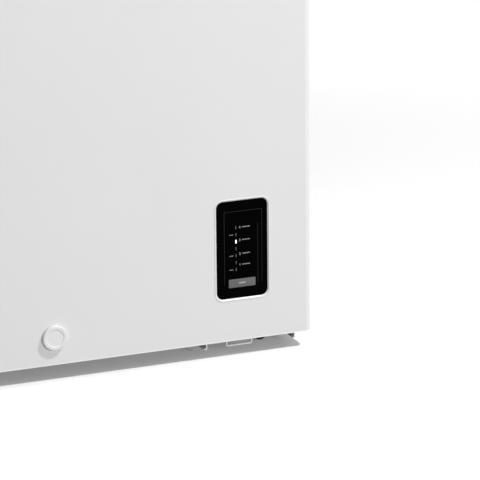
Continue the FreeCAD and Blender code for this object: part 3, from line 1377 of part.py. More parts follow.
def lock():
    """The key lock in the handle, its cam, and the keeper on the rim frame."""
    place = ("0", "lid_face", "lock_z")
    barrel = turned("barrel_turned", "y", place, [
        ("-handle_deep + snug", "0"),
        ("-handle_deep + snug", "lock_round"),
        ("snug", "lock_round"),
        ("snug", "boss_round - 1"),
        ("cam_back", "boss_round - 1"),
        ("cam_back", "0"),
    ])
    key_x = ("-key_wide / 2", "key_wide / 2")
    key = block("key_slot", key_x, ("lid_face - handle_deep - 1", "lid_face - handle_deep + key_deep"),
                ("lock_z - key_tall / 2", "lock_z + key_tall / 2"))
    piece("lock_barrel", cut("barrel_cut", barrel, key))
    y_span = ("cam_y", "cam_y + cam_thick")
    arm = block("cam_arm", ("-cam_wide / 2", "cam_wide / 2"), y_span, ("lock_z - cam_long", "lock_z"))
    hub = rod("cam_hub", "y", ("0", "lock_z"), y_span, "cam_wide / 2")
    piece("lock_cam", fuse("cam_solid", arm, hub))
    lip_y = "front_y - snug - frame_lip"
    top = "lock_z + cam_wide / 2 + 2 * snug"
    x_span = ("cam_wide / 2 + 2 * cam_thick", "cam_wide / 2 + 2 * cam_thick + cam_long")
    plate = block("keeper_plate", x_span, (f"{lip_y} - skin", lip_y),
                  ("rim_z - frame_lip_drop", f"{top} + leaf_sheet / 2"))
    shelf = block("keeper_shelf", x_span, ("cam_y - skin", lip_y), (top, f"{top} + leaf_sheet / 2"))
    piece("lock_keeper", fuse("keeper_solid", plate, shelf))


# ---------------------------------------------------------------- hinges


def hinges():
    """Two hinges: a bracket with two ears on the back, a pin, a spring and a leaf on the lid."""
    brackets, leaves, pins, springs = [], [], [], []
    for n, x in enumerate(("-hinge_x", "hinge_x")):
        brackets.append(hinge_bracket(n, x))
        leaves.append(hinge_leaf(n, x))
        reach = "leaf_wide / 2 + side_gap + ear_thick"
        pins.append(turned(f"pin_{n}", "x", (x, "pin_y", "pin_z"), [
            (f"-({reach}) - pin_head", "0"),
            (f"-({reach}) - pin_head", "pin_round + pin_head"),
            (f"-({reach})", "pin_round + pin_head"),
            (f"-({reach})", "pin_round"),
            (reach, "pin_round"),
            (reach, "pin_round + pin_head"),
            (f"{reach} + pin_head", "pin_round + pin_head"),
            (f"{reach} + pin_head", "0"),
        ]))
        springs.append(hinge_spring(n, x))
    piece("hinge_brackets", group("brackets", *brackets))
    piece("hinge_leaves", group("leaves", *leaves))
    piece("hinge_pins", group("pins", *pins))
    piece("hinge_springs", group("springs", *springs))


def hinge_bracket(n, x):
    """A plate on the back panel with two ears that carry the pin."""
    near = "leaf_wide / 2 + side_gap"
    far = "leaf_wide / 2 + side_gap + ear_thick"
    top = "lid_low - 2 * leaf_sheet"
    plate_y = "back_y + leaf_sheet"
    parts = [block(f"bracket_plate_{n}", (f"{x} - ({far})", f"{x} + {far}"), ("back_y", plate_y),
                   (f"lid_low - bracket_tall", top))]
    ears = {"left": (f"{x} - ({far})", f"{x} - ({near})"), "right": (f"{x} + {near}", f"{x} + {far}")}
    for side, span in ears.items():
        parts.append(prism(f"ear_web_{side}_{n}", "x", span, [
            (f"{plate_y} - skin", f"{top} - 2 * pin_out"),
            ("pin_y + ear_round", "pin_z"),
            ("pin_y - ear_round", "pin_z"),
            (f"{plate_y} - skin", top),
        ]))
        parts.append(rod(f"ear_round_{side}_{n}", "x", ("pin_y", "pin_z"), span, "ear_round"))
    bore = rod(f"ear_bore_{n}", "x", ("pin_y", "pin_z"), (f"{x} - 2 * leaf_wide", f"{x} + 2 * leaf_wide"),
               "pin_round + run_gap")
    holes = [rod(f"bracket_hole_{n}_{m}", "y", spot, ("back_y - 1", "back_y + hem"), "screw_round + run_gap")
             for m, spot in enumerate(screw_places()[4 + 4 * n:8 + 4 * n])]
    return cut(f"bracket_{n}", fuse(f"bracket_solid_{n}", *parts), bore, *holes)


def hinge_leaf(n, x):
    """A plate on the lid's rear face with two knuckles round the pin."""
    half = "leaf_wide / 2"
    plate_y = "lid_rear + leaf_sheet"
    parts = [block(f"leaf_plate_{n}", (f"{x} - {half}", f"{x} + {half}"), ("lid_rear", plate_y),
                   ("pin_z", "lid_low + leaf_tall"))]
    for side, span in (("left", (f"{x} - {half}", f"{x} - {half} + knuckle_long")),
                       ("right", (f"{x} + {half} - knuckle_long", f"{x} + {half}"))):
        parts.append(block(f"leaf_arm_{side}_{n}", span, (f"{plate_y} - skin", "pin_y"),
                           ("pin_z", "pin_z + knuckle_round")))
        parts.append(rod(f"knuckle_{side}_{n}", "x", ("pin_y", "pin_z"), span, "knuckle_round"))
    bore = rod(f"leaf_bore_{n}", "x", ("pin_y", "pin_z"), (f"{x} - leaf_wide", f"{x} + leaf_wide"),
               "pin_round + run_gap")
    return cut(f"leaf_{n}", fuse(f"leaf_solid_{n}", *parts), bore)


def hinge_spring(n, x):
    """A coil of round wire on the pin between the leaf's two knuckles."""
    wire = size("spring_wire")
    coil = size("pin_round + spring_wire + snug")
    length = size("leaf_wide - 2 * knuckle_long - 2 * side_gap") - 2 * wire
    path = Part.Wire(Part.makeHelix(length / size("spring_turns"), length, coil).Edges)
    section = Part.Wire(Part.Circle(Vector(coil, 0, 0), Vector(0, 1, 0), wire).toShape())
    spring = DOC.addObject("Part::Feature", f"spring_{n}")
    spring.Shape = path.makePipeShell([section], True, True)
    start = point(x, "pin_y", "pin_z") - Vector(length / 2, 0, 0)
    spring.Placement = Placement(start, TURNS["x"])
    return spring


# ---------------------------------------------------------------- basket


def wire_basket():
    """The hanging basket: open above, with a rim and four hooks that lie on the frame."""
    x_span = ("basket_left", "basket_right")
    y_span = ("basket_front", "basket_rear")
    wall = "2 * thin_wire"
    shell = block("basket_outside", x_span, y_span, ("basket_low", "basket_top"))
    room = block("basket_room", (f"basket_left + {wall}", f"basket_right - {wall}"),
                 (f"basket_front + {wall}", f"basket_rear - {wall}"),
                 (f"basket_low + {wall}", "basket_top + 1"))
    bowl = cut("basket_bowl", shell, room)
    rod_size = "2 * rim_wire"
    parts = [bowl]
    hook_z = ("frame_z + snug", f"frame_z + snug + {rod_size}")
    hooks = {
        "front": (("basket_front", f"basket_front + {rod_size}"),
                  ("well_front + mouth_in - hook_reach", "basket_front")),
        "rear": ((f"basket_rear - {rod_size}", "basket_rear"),
                 ("basket_rear", "well_back - mouth_in + hook_reach")),
    }
    for n, x in enumerate(("basket_left + hook_in", "basket_right - hook_in")):
        hook_x = (f"{x} - rim_wire", f"{x} + rim_wire")
        for end, (post_y, over_y) in hooks.items():
            parts.append(block(f"hook_post_{end}_{n}", hook_x, post_y, ("basket_top - hook_down", hook_z[1])))
            parts.append(block(f"hook_over_{end}_{n}", hook_x, over_y, hook_z))
    piece("wire_basket", fuse("basket_solid", *parts))


# ---------------------------------------------------------------- build, check and write


def check(objects):
    """Stop if an object of the document failed, or if a sub-part has no good shape."""
    for made in objects:
        if {"Invalid", "Error"} & set(made.State):
            raise RuntimeError(f"{made.Name} failed: {made.State}")
    for made in PIECES:
        if made.Shape.isNull() or not made.Shape.isValid() or not made.Shape.Solids:
            raise RuntimeError(f"{made.Label} has no valid solid")


def main():
    """Make the document, its sub-parts and their files."""
    make_sheet()
    outer_wrapper()
    back_panel()
    base_pan()
    inner_liner()
    top_frame()
    coils()
    foam_body()
    drain_pipe()
    drain_fittings()
    control_bezel()
    control_unit()
    compressor_tray()
    rails()
    castors()
    compressor()
    pipes()
    side_grille()
    rear_cover()
    lid()
    lid_handle()
    lock()
    hinges()
    wire_basket()
    DOC.removeObject(RULER.Name)
    DOC.recompute()
    check(DOC.Objects)
    os.makedirs("parts", exist_ok=True)
    for made in PIECES:
        made.Shape.exportStep(f"parts/{made.Label}.step")
        print(f"{made.Label}: {len(made.Shape.Solids)} solids, {made.Shape.Volume / 1000:.1f} cm3")


main()
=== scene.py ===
"""Looks for a chest freezer around its fixed frame, in metres.

X runs to the user's right, Y from the front to the back and Z up, and the origin is on the floor in
the middle of the freezer. The frame brings every solid piece. This file gives each piece its finish,
shapes the pieces that the frame holds only as plain solids, and sets up the floor, lamps and camera.
"""

import json
import logging
import math
from abc import ABC, abstractmethod
from dataclasses import dataclass
from enum import Enum
from typing import Any, Callable, Optional, Sequence, Union

import bpy
import numpy as np
from mathutils import Matrix, Vector

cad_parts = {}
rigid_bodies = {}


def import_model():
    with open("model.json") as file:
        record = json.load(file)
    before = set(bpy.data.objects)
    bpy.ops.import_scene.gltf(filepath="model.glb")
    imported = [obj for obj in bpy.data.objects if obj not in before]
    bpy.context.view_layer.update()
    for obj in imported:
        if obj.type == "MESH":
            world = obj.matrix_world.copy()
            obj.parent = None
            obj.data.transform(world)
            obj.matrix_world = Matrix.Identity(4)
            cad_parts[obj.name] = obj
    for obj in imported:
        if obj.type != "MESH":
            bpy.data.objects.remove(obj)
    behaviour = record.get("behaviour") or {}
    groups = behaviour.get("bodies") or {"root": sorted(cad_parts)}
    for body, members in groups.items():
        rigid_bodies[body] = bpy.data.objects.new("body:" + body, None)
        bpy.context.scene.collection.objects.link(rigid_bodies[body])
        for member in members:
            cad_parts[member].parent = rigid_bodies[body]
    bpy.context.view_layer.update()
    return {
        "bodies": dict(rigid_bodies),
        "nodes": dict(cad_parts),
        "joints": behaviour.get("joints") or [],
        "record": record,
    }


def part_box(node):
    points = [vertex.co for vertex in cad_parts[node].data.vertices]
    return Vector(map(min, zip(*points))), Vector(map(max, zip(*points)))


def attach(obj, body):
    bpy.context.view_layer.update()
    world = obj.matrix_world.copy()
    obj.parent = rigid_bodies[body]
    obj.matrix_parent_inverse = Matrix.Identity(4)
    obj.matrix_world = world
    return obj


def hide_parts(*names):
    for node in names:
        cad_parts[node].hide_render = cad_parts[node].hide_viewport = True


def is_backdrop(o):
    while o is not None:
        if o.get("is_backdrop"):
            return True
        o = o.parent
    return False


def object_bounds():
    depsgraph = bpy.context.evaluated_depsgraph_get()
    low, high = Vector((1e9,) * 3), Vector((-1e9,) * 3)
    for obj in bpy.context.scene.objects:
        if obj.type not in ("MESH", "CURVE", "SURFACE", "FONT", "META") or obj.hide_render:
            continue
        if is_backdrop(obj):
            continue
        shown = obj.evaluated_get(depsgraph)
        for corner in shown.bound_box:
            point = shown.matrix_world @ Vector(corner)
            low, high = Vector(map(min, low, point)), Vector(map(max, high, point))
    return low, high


log = logging.getLogger("chest_freezer")

MM = 0.001
EDGE_STEPS = 4
BLUNT = 2.1  # a mark's width over its corners' radius, where its ends are nearly half circles

Colour = tuple[float, float, float]
Mesh = tuple[np.ndarray, np.ndarray]


class Slot(str, Enum):
    """The material slots of the record."""

    PAINTED = "painted_white"
    ZINC_SHEET = "zinc_sheet"
    LINER = "liner_white"
    WHITE_PLASTIC = "white_plastic"
    COATED_WIRE = "coated_wire"
    FOAM = "foam"
    GLASS = "touch_glass"
    GREY_PLASTIC = "grey_plastic"
    BOARD = "board_green"
    SHEATH = "cable_sheath"
    COPPER = "copper_tube"
    STEEL_TUBE = "steel_tube"
    IRON = "iron"
    HOSE = "drain_hose"
    BLACK_RUBBER = "black_rubber"
    SEAL = "seal_grey"
    ZINC_STEEL = "zinc_steel"
    CHROME = "lock_chrome"
    BLACK_WHEEL = "black_wheel"


class Body(str, Enum):
    """The bodies of the frame that new pieces ride on."""

    CABINET = "cabinet"
    LID = "lid"
    BASKET = "basket"


# ---------------------------------------------------------------- shader maths


def operator(operation: str, swapped: bool = False) -> Callable[["Wire", "Value"], "Wire"]:
    """A method of Wire that adds a Math node, with the two values swapped for a reflected operator."""

    def method(self: "Wire", other: "Value") -> "Wire":
        """The node's result."""
        first, second = (other, self) if swapped else (self, other)
        return self.maths(operation, first, second)

    return method


class Wire:
    """A value in a material's node tree, whose operators add Math nodes."""

    def __init__(self, recipe: "Recipe", socket: bpy.types.NodeSocket) -> None:
        """Keep the recipe that owns the socket."""
        self.recipe = recipe
        self.socket = socket

    def maths(self, operation: str, first: "Value", second: "Value", clamp: bool = False) -> "Wire":
        """Add one Math node.

        Args:
            operation: the node's operation.
            first: its first value or link.
            second: its second value or link.
            clamp: whether the result is kept from 0 to 1.

        Returns:
            The node's result.
        """
        settings = {"operation": operation, "use_clamp": clamp}
        return self.recipe.add("ShaderNodeMath", settings, {0: first, 1: second})

    __add__, __radd__ = operator("ADD"), operator("ADD", True)
    __sub__, __rsub__ = operator("SUBTRACT"), operator("SUBTRACT", True)
    __mul__, __rmul__ = operator("MULTIPLY"), operator("MULTIPLY", True)
    __pow__ = operator("POWER")
    at_least = operator("MAXIMUM")
    above = operator("GREATER_THAN")

    def size(self) -> "Wire":
        """The value without its sign."""
        return self.maths("ABSOLUTE", self, 0.0)

    def sine(self) -> "Wire":
        """Sine, in radians."""
        return self.maths("SINE", self, 0.0)

    def within(self, low: float, high: float) -> "Wire":
        """0 at low, 1 at high, straight between them and kept from 0 to 1."""
        return self.maths("DIVIDE", self - low, high - low, clamp=True)


Value = Union[Wire, float, tuple]


class Recipe:
    """A material in the making: its node tree, and one method that adds any node."""

    def __init__(self, tree: bpy.types.NodeTree) -> None:
        """Empty the tree."""
        self.tree = tree
        tree.nodes.clear()

    def add(self, kind: str, settings: Optional[dict[str, Any]] = None,
            sockets: Optional[dict[Union[str, int], Value]] = None, out: Union[str, int] = 0) -> Wire:
        """Add a node.

        Args:
            kind: the node's type.
            settings: its settings, set first.
            sockets: the values or links of its inputs, by name or number.
            out: which output to return.

        Returns:
            That output.
        """
        node = self.tree.nodes.new(kind)
        for key, value in (settings or {}).items():
            setattr(node, key, value)
        for key, value in (sockets or {}).items():
            if isinstance(value, Wire):
                self.tree.links.new(value.socket, node.inputs[key])
            else:
                node.inputs[key].default_value = value
        return Wire(self, node.outputs[out] if node.outputs else None)

    def place(self, stretch: Sequence[float] = (1.0, 1.0, 1.0)) -> Wire:
        """The point on the object, in metres, stretched along each axis."""
        here = self.add("ShaderNodeTexCoord", out="Object")
        return self.add("ShaderNodeMapping", sockets={"Vector": here, "Scale": tuple(stretch)})

    def axis(self, letter: str) -> Wire:
        """One coordinate of the point on the object, in metres."""
        here = self.add("ShaderNodeTexCoord", out="Object")
        return self.add("ShaderNodeSeparateXYZ", sockets={0: here}, out=letter)

    def noise(self, size: float, detail: float = 2.0, stretch: Sequence[float] = (1.0, 1.0, 1.0)) -> Wire:
        """Soft noise from 0 to 1 whose blobs measure size, in metres."""
        return self.add("ShaderNodeTexNoise", {"noise_dimensions": "3D"},
                        {"Vector": self.place(stretch), "Scale": 1.0 / size, "Detail": detail}, "Fac")

    def cells(self, size: float, feature: str = "F1", out: str = "Distance") -> Wire:
        """Cells of that size, in metres: the distance to a centre or an edge, or a colour for each."""
        return self.add("ShaderNodeTexVoronoi", {"feature": feature},
                        {"Vector": self.place(), "Scale": 1.0 / size}, out)

    def grey_of(self, colour: Wire) -> Wire:
        """A colour's first channel as a number."""
        return self.add("ShaderNodeSeparateColor", sockets={0: colour}, out=0)

    def blend(self, share: Value, first: Union[Wire, Colour], second: Union[Wire, Colour]) -> Wire:
        """Mix two colours: first where share is 0, second where it is 1."""
        ends = [end if isinstance(end, Wire) else (*end, 1.0) for end in (first, second)]
        return self.add("ShaderNodeMix", {"data_type": "RGBA"}, {0: share, 6: ends[0], 7: ends[1]}, 2)

    def cloudy(self, share: Value, colour: Colour, swing: float) -> Wire:
        """A colour that runs from darker to lighter by a swing, as share goes from 0 to 1."""
        return self.blend(share, scaled(colour, 1 - swing), scaled(colour, 1 + swing))

    def bump(self, height: Wire, depth: float) -> Wire:
        """A normal tilted by a height from 0 to 1 that stands for depth, in metres."""
        return self.add("ShaderNodeBump", sockets={"Distance": depth, "Height": height})

    def close(self, shader: Wire) -> None:
        """Link a shader to the tree's material output."""
        self.add("ShaderNodeOutputMaterial", sockets={"Surface": shader})

    def surface(self, colour: Union[Wire, Colour], rough: Value, bump: Optional[Wire] = None,
                metal: Value = 0.0, **constants: Any) -> None:
        """Close the material with a Principled shader.

        Args:
            colour: the base colour.
            rough: the roughness.
            bump: the tilted normal, if any.
            metal: how far the surface is metal.
            constants: other sockets by name, with _ for a space, each the same all over the surface.
        """
        sockets: dict[Union[str, int], Value] = {
            "Base Color": colour if isinstance(colour, Wire) else (*colour, 1.0),
            "Roughness": rough,
            "Metallic": metal,
        }
        if bump is not None:
            sockets["Normal"] = bump
        for name, value in constants.items():
            sockets[name.replace("_", " ")] = value
        self.close(self.add("ShaderNodeBsdfPrincipled", sockets=sockets))


def scaled(colour: Colour, share: float) -> Colour:
    """A colour made lighter or darker by a share of itself, kept under 1."""
    return tuple(min(1.0, channel * share) for channel in colour)


def grey(level: float) -> Colour:
    """A neutral colour."""
    return (level, level, level)


def around(level: Value, *swings: tuple[float, Wire]) -> Value:
    """A level that swings by a width with each pattern, whose middle is 0.5."""
    for width, pattern in swings:
        level = level + width * (pattern - 0.5)
    return level


# ---------------------------------------------------------------- finishes


class Finish(ABC):
    """What a piece's surface is made of."""

    name: str

    @abstractmethod
    def paint(self, recipe: Recipe) -> None:
        """Add the finish's nodes to a recipe."""

    def material(self) -> bpy.types.Material:
        """The finish as a material, made once and then found by its name."""
        made = bpy.data.materials.get(self.name)
        if made is None:
            made = bpy.data.materials.new(self.name)
            made.use_nodes = True
            self.paint(Recipe(made.node_tree))
        return made


@dataclass(frozen=True)
class PowderPaint(Finish):
    """Baked paint on sheet steel: an even colour, a very fine orange peel, slow waves of the sheet, and a
    painted highlight along the fold at the foot.
    """

    name: str
    colour: Colour
    rough: float = 0.36
    peel_size: float = 2.6 * MM
    peel_depth: float = 0.006 * MM
    wave_size: float = 0.16
    wave_depth: float = 0.05 * MM
    drift: float = 0.015
    shine: float = 0.22
    # the heights of the painted highlight band along the fold at the foot, and how much lighter it makes the
    # colour
    fold: tuple[float, float] = (25.8 * MM, 26.8 * MM)
    hem_highlight_lift: float = 1.17

    def paint(self, recipe: Recipe) -> None:
        """Peel and waves as bump, a slow drift of the colour, and a painted highlight: a lighter band of
        colour along the fold at the foot.
        """
        slow = recipe.noise(self.wave_size, 2.0)
        peel = recipe.noise(self.peel_size, 1.5)
        even = recipe.cloudy(slow, self.colour, self.drift)
        # Painted highlight: a thin band at the fold of the foot is made lighter, standing in for light that
        # the rounded fold catches.
        folded = 1 - recipe.axis("Z").within(*self.fold)
        tint = recipe.blend(folded, even, scaled(self.colour, self.hem_highlight_lift))
        rough = around(self.rough, (0.05, slow), (0.06, peel))
        height = peel * (self.peel_depth / self.wave_depth) + slow
        recipe.surface(tint, rough, recipe.bump(height, self.wave_depth), Specular_IOR_Level=self.shine)


@dataclass(frozen=True)
class Moulding(Finish):
    """Moulded plastic: an eroded grain from the mould, and faint flow clouds."""

    name: str
    colour: Colour
    rough: float = 0.42
    grain_size: float = 0.7 * MM
    grain_depth: float = 0.02 * MM
    cloud: float = 0.02
    shine: float = 0.5
    see_through: float = 0.0
    cloud_size: float = 45 * MM
    glow_depth: float = 2 * MM

    def paint(self, recipe: Recipe) -> None:
        """The grain as bump and roughness, the clouds as colour."""
        flow = recipe.noise(self.cloud_size, 2.0, (1.0, 1.0, 0.4))
        grain = recipe.noise(self.grain_size, 3.0)
        tint = recipe.cloudy(flow, self.colour, self.cloud)
        rough = around(self.rough, (0.16, grain), (0.06, flow))
        recipe.surface(tint, rough, recipe.bump(grain, self.grain_depth), Specular_IOR_Level=self.shine,
                       Subsurface_Weight=self.see_through, Subsurface_Radius=grey(self.glow_depth))


@dataclass(frozen=True)
class Galvanised(Finish):
    """Zinc-dipped sheet: crystals that each shine their own way, with rolling lines along X."""

    name: str
    colour: Colour
    crystal: float = 9 * MM
    contrast: float = 0.16
    rough: float = 0.42
    line_size: float = 0.5 * MM
    line_depth: float = 0.02 * MM
    metal: float = 0.85

    def paint(self, recipe: Recipe) -> None:
        """One grey for each crystal, frosted borders, and faint lines."""
        shade = recipe.grey_of(recipe.cells(self.crystal, out="Color"))
        frost = recipe.noise(self.crystal / 4, 4.0)
        lines = recipe.noise(self.line_size, 2.0, (0.01, 1.0, 1.0))
        tone = (0.7 * shade + 0.3 * frost).within(0.0, 1.0)
        tint = recipe.cloudy(tone, self.colour, self.contrast)
        rough = around(self.rough, (0.2, shade), (0.12, lines))
        bump = recipe.bump(0.6 * lines + 0.4 * frost, self.line_depth)
        recipe.surface(tint, rough, bump, metal=self.metal)


@dataclass(frozen=True)
class Plated(Finish):
    """Bright zinc or chrome on small steel parts: a slight two-tone sheen, hairlines and handling marks."""

    name: str
    colour: Colour
    second: Colour
    rough: float = 0.26
    line_size: float = 0.25 * MM
    stretch: Sequence[float] = (1.0, 1.0, 0.05)
    sheen_size: float = 14 * MM
    mark_size: float = 2.2 * MM
    line_depth: float = 0.008 * MM

    def paint(self, recipe: Recipe) -> None:
        """Sheen in the colour, hairlines in the roughness and bump."""
        sheen = recipe.noise(self.sheen_size, 3.0)
        lines = recipe.noise(self.line_size, 2.0, self.stretch)
        marks = recipe.noise(self.mark_size, 4.0).within(0.58, 0.72)
        tint = recipe.blend(sheen.within(0.3, 0.7), self.colour, self.second)
        rough = around(self.rough, (0.14, lines)) + 0.12 * marks
        recipe.surface(tint, rough, recipe.bump(lines, self.line_depth), metal=0.95)


@dataclass(frozen=True)
class DrawnTube(Finish):
    """Drawn copper or steel tube: tarnish in patches, brighter where it was handled, with drawing lines."""

    name: str
    colour: Colour
    tarnish: Colour
    rough: float = 0.3
    patch_size: float = 24 * MM
    line_size: float = 0.6 * MM
    line_depth: float = 0.012 * MM

    def paint(self, recipe: Recipe) -> None:
        """Tarnish mixes into the colour, and roughens and dulls it."""
        patch = recipe.noise(self.patch_size, 4.0).within(0.4, 0.68)
        lines = recipe.noise(self.line_size, 3.0)
        tint = recipe.blend(patch, self.colour, self.tarnish)
        rough = around(self.rough + 0.22 * patch, (0.12, lines))
        recipe.surface(tint, rough, recipe.bump(lines, self.line_depth), metal=0.98 - 0.25 * patch)


@dataclass(frozen=True)
class ShellPaint(Finish):
    """Thick black paint on a pressed steel shell: orange peel, and dust in specks on what faces up."""

    name: str
    colour: Colour
    dust: Colour = (0.16, 0.15, 0.14)
    speck_size: float = 6 * MM
    peel_size: float = 1.8 * MM
    peel_depth: float = 0.05 * MM

    def paint(self, recipe: Recipe) -> None:
        """Dust by the way the surface faces, peel as bump."""
        normal = recipe.add("ShaderNodeNewGeometry", out="Normal")
        up = recipe.add("ShaderNodeSeparateXYZ", sockets={0: normal},
                        out="Z")
        peel = recipe.noise(self.peel_size, 2.0)
        specks = recipe.noise(self.speck_size, 5.0).within(0.45, 0.7)
        dusty = (up.within(0.2, 1.0) * (0.12 + 0.3 * specks)).within(0.0, 1.0)
        tint = recipe.blend(dusty, self.colour, self.dust)
        recipe.surface(tint, around(0.3 + 0.4 * dusty, (0.1, peel)), recipe.bump(peel, self.peel_depth))


@dataclass(frozen=True)
class RigidFoam(Finish):
    """Foamed insulation: closed cells, painted shade darkening the hollows between them, and a skin that
    yellows in clouds.
    """

    name: str
    colour: Colour
    aged: Colour
    cell: float = 2.2 * MM
    cell_depth: float = 0.5 * MM
    fine_size: float = 0.9 * MM
    cloud_size: float = 60 * MM

    def paint(self, recipe: Recipe) -> None:
        """Round cells as bump, and painted shade in the hollows as darker colour."""
        cells = recipe.cells(self.cell, "SMOOTH_F1")
        fine = recipe.noise(self.fine_size, 3.0)
        cloud = recipe.noise(self.cloud_size, 3.0).within(0.3, 0.7)
        skin = recipe.blend(cloud, self.colour, self.aged)
        # Painted shade: the colour darkens where the bump sinks between the cells.
        pit_shade = cells.within(0.35, 0.75) * 0.35
        tint = recipe.blend(pit_shade, skin, scaled(self.aged, 0.55))
        height = 1.0 - cells + 0.2 * fine
        recipe.surface(tint, around(0.85, (0.1, fine)), recipe.bump(height, self.cell_depth))


@dataclass(frozen=True)
class BlackGlass(Finish):
    """Back-painted glass: black under a smooth face with the faintest wipe marks."""

    name: str
    colour: Colour
    shine: float = 0.015
    wipe_size: float = 30 * MM
    smear_size: float = 9 * MM

    def paint(self, recipe: Recipe) -> None:
        """Wipe marks roughen the face a little."""
        wipe = recipe.noise(self.wipe_size, 3.0, (0.35, 1.0, 1.0))
        smear = recipe.noise(self.smear_size, 4.0).within(0.5, 0.75)
        tint = recipe.cloudy(wipe, self.colour, 0.2)
        recipe.surface(tint, 0.05 + 0.05 * wipe + 0.05 * smear, Specular_IOR_Level=self.shine)


@dataclass(frozen=True)
class SolderMask(Finish):
    """A circuit board: green mask over copper tracks that run square to each other, with tinned lands."""

    name: str
    colour: Colour
    track: Colour
    land: Colour = (0.62, 0.63, 0.62)
    pitch: float = 3.1 * MM
    area_size: float = 11 * MM
    land_size: float = 7 * MM
    track_depth: float = 0.03 * MM

    def paint(self, recipe: Recipe) -> None:
        """Tracks where either of two stretched square waves is high, and lands as round spots on a grid."""
        lanes = [(recipe.axis(letter) * (2 * math.pi / self.pitch)).sine() for letter in "XZ"]
        gate = recipe.noise(self.area_size, 1.0)
        tracks = lanes[0].above(0.8) * gate.above(0.5) + lanes[1].above(0.8) * (1 - gate.above(0.5))
        lands = (lanes[0] + lanes[1]).above(1.86) * recipe.noise(self.land_size, 1.0).above(0.52)
        mask = recipe.blend(tracks.within(0.0, 1.0), self.colour, self.track)
        tint = recipe.blend(lands, mask, self.land)
        recipe.surface(tint, 0.3 + 0.1 * tracks, recipe.bump(tracks, self.track_depth), metal=0.8 * lands)


@dataclass(frozen=True)
class Rubber(Finish):
    """Rubber or soft vinyl: matt, with a fine mould texture and a dry bloom in patches."""

    name: str
    colour: Colour
    bloom: Colour
    rough: float = 0.68
    grain_size: float = 0.5 * MM
    grain_depth: float = 0.03 * MM
    patch_size: float = 18 * MM
    shine: float = 0.22

    def paint(self, recipe: Recipe) -> None:
        """Bloom mixes into the colour, grain makes the bump."""
        patch = recipe.noise(self.patch_size, 4.0).within(0.42, 0.75)
        grain = recipe.noise(self.grain_size, 3.0)
        tint = recipe.blend(0.5 * patch, self.colour, self.bloom)
        rough = around(self.rough + 0.1 * patch, (0.12, grain))
        recipe.surface(tint, rough, recipe.bump(grain, self.grain_depth), Specular_IOR_Level=self.shine)


@dataclass(frozen=True)
class Rolled(Finish):
    """A hard wheel: black nylon, scuffed grey where the tread has rolled over grit."""

    name: str
    colour: Colour
    scuff: Colour = (0.11, 0.108, 0.105)
    scratch_size: float = 0.8 * MM
    grain_size: float = 0.6 * MM
    grain_depth: float = 0.02 * MM

    def paint(self, recipe: Recipe) -> None:
        """Scuffs are short scratches in the colour and the roughness."""
        scratch = recipe.noise(self.scratch_size, 4.0, (1.0, 0.15, 1.0)).within(0.55, 0.7)
        grain = recipe.noise(self.grain_size, 2.0)
        tint = recipe.blend(0.6 * scratch, self.colour, self.scuff)
        rough = around(0.42 + 0.25 * scratch, (0.08, grain))
        recipe.surface(tint, rough, recipe.bump(grain, self.grain_depth))


@dataclass(frozen=True)
class Print(Finish):
    """Ink or a lit mark behind the glass: an even tone, a trace of screen texture and a low glow."""

    name: str
    colour: Colour
    glow: float = 0.0
    dot_size: float = 0.5 * MM

    def paint(self, recipe: Recipe) -> None:
        """The screen's dots vary the tone a little."""
        dots = recipe.noise(self.dot_size, 1.0)
        tint = recipe.cloudy(dots, self.colour, 0.07)
        recipe.surface(tint, 0.3 + 0.1 * dots, Specular_IOR_Level=0.1, Emission_Color=(*self.colour, 1.0),
                       Emission_Strength=self.glow)


FINISHES: dict[Slot, Finish] = {
    Slot.PAINTED: PowderPaint("baked_white_paint", grey(0.72)),
    Slot.ZINC_SHEET: Galvanised("galvanised_sheet", (0.70, 0.71, 0.72)),
    Slot.LINER: PowderPaint("white_liner", (0.76, 0.765, 0.765), 0.3, 4.5 * MM, 0.05 * MM, 0.05, 0.12 * MM,
                            0.02, 0.5),
    Slot.WHITE_PLASTIC: Moulding("white_moulding", grey(0.72)),
    Slot.COATED_WIRE: Moulding("white_wire_coating", (0.83, 0.83, 0.825), 0.3, 1.6 * MM, 0.03 * MM),
    Slot.FOAM: RigidFoam("insulating_foam", (0.78, 0.70, 0.48), (0.66, 0.53, 0.28)),
    Slot.GLASS: BlackGlass("black_touch_glass", grey(0.0005)),
    Slot.GREY_PLASTIC: Moulding("grey_moulding", (0.22, 0.225, 0.23), 0.5, 0.9 * MM, 0.03 * MM, 0.06),
    Slot.BOARD: SolderMask("green_board", (0.015, 0.13, 0.05), (0.03, 0.24, 0.09)),
    Slot.SHEATH: Rubber("cable_vinyl", (0.05, 0.05, 0.052), grey(0.12), 0.5),
    Slot.COPPER: DrawnTube("copper", (0.86, 0.44, 0.28), (0.42, 0.2, 0.13)),
    Slot.STEEL_TUBE: DrawnTube("steel", grey(0.5), (0.22, 0.21, 0.2)),
    Slot.IRON: ShellPaint("black_shell_paint", (0.018, 0.018, 0.019)),
    Slot.HOSE: Moulding("milky_hose", (0.72, 0.72, 0.69), 0.35, 1.2 * MM, 0.02 * MM, 0.03, 0.5, 0.15),
    Slot.BLACK_RUBBER: Rubber("black_rubber", grey(0.022), (0.08, 0.08, 0.078)),
    Slot.SEAL: Rubber("door_seal_vinyl", (0.55, 0.555, 0.56), (0.66, 0.66, 0.655), 0.5, 0.8 * MM),
    Slot.ZINC_STEEL: Plated("zinc_plating", (0.68, 0.69, 0.70), (0.62, 0.63, 0.58)),
    Slot.CHROME: Plated("chrome_plating", (0.86, 0.865, 0.87), (0.78, 0.79, 0.8), 0.12, 0.18 * MM,
                        (1.0, 0.1, 1.0)),
    Slot.BLACK_WHEEL: Rolled("wheel_nylon", grey(0.012)),
}


# ---------------------------------------------------------------- surfaces


def shown(name: str, data: bpy.types.ID) -> bpy.types.Object:
    """A mesh, a lamp or a camera as an object in the scene."""
    made = bpy.data.objects.new(name, data)
    bpy.context.scene.collection.objects.link(made)
    return made


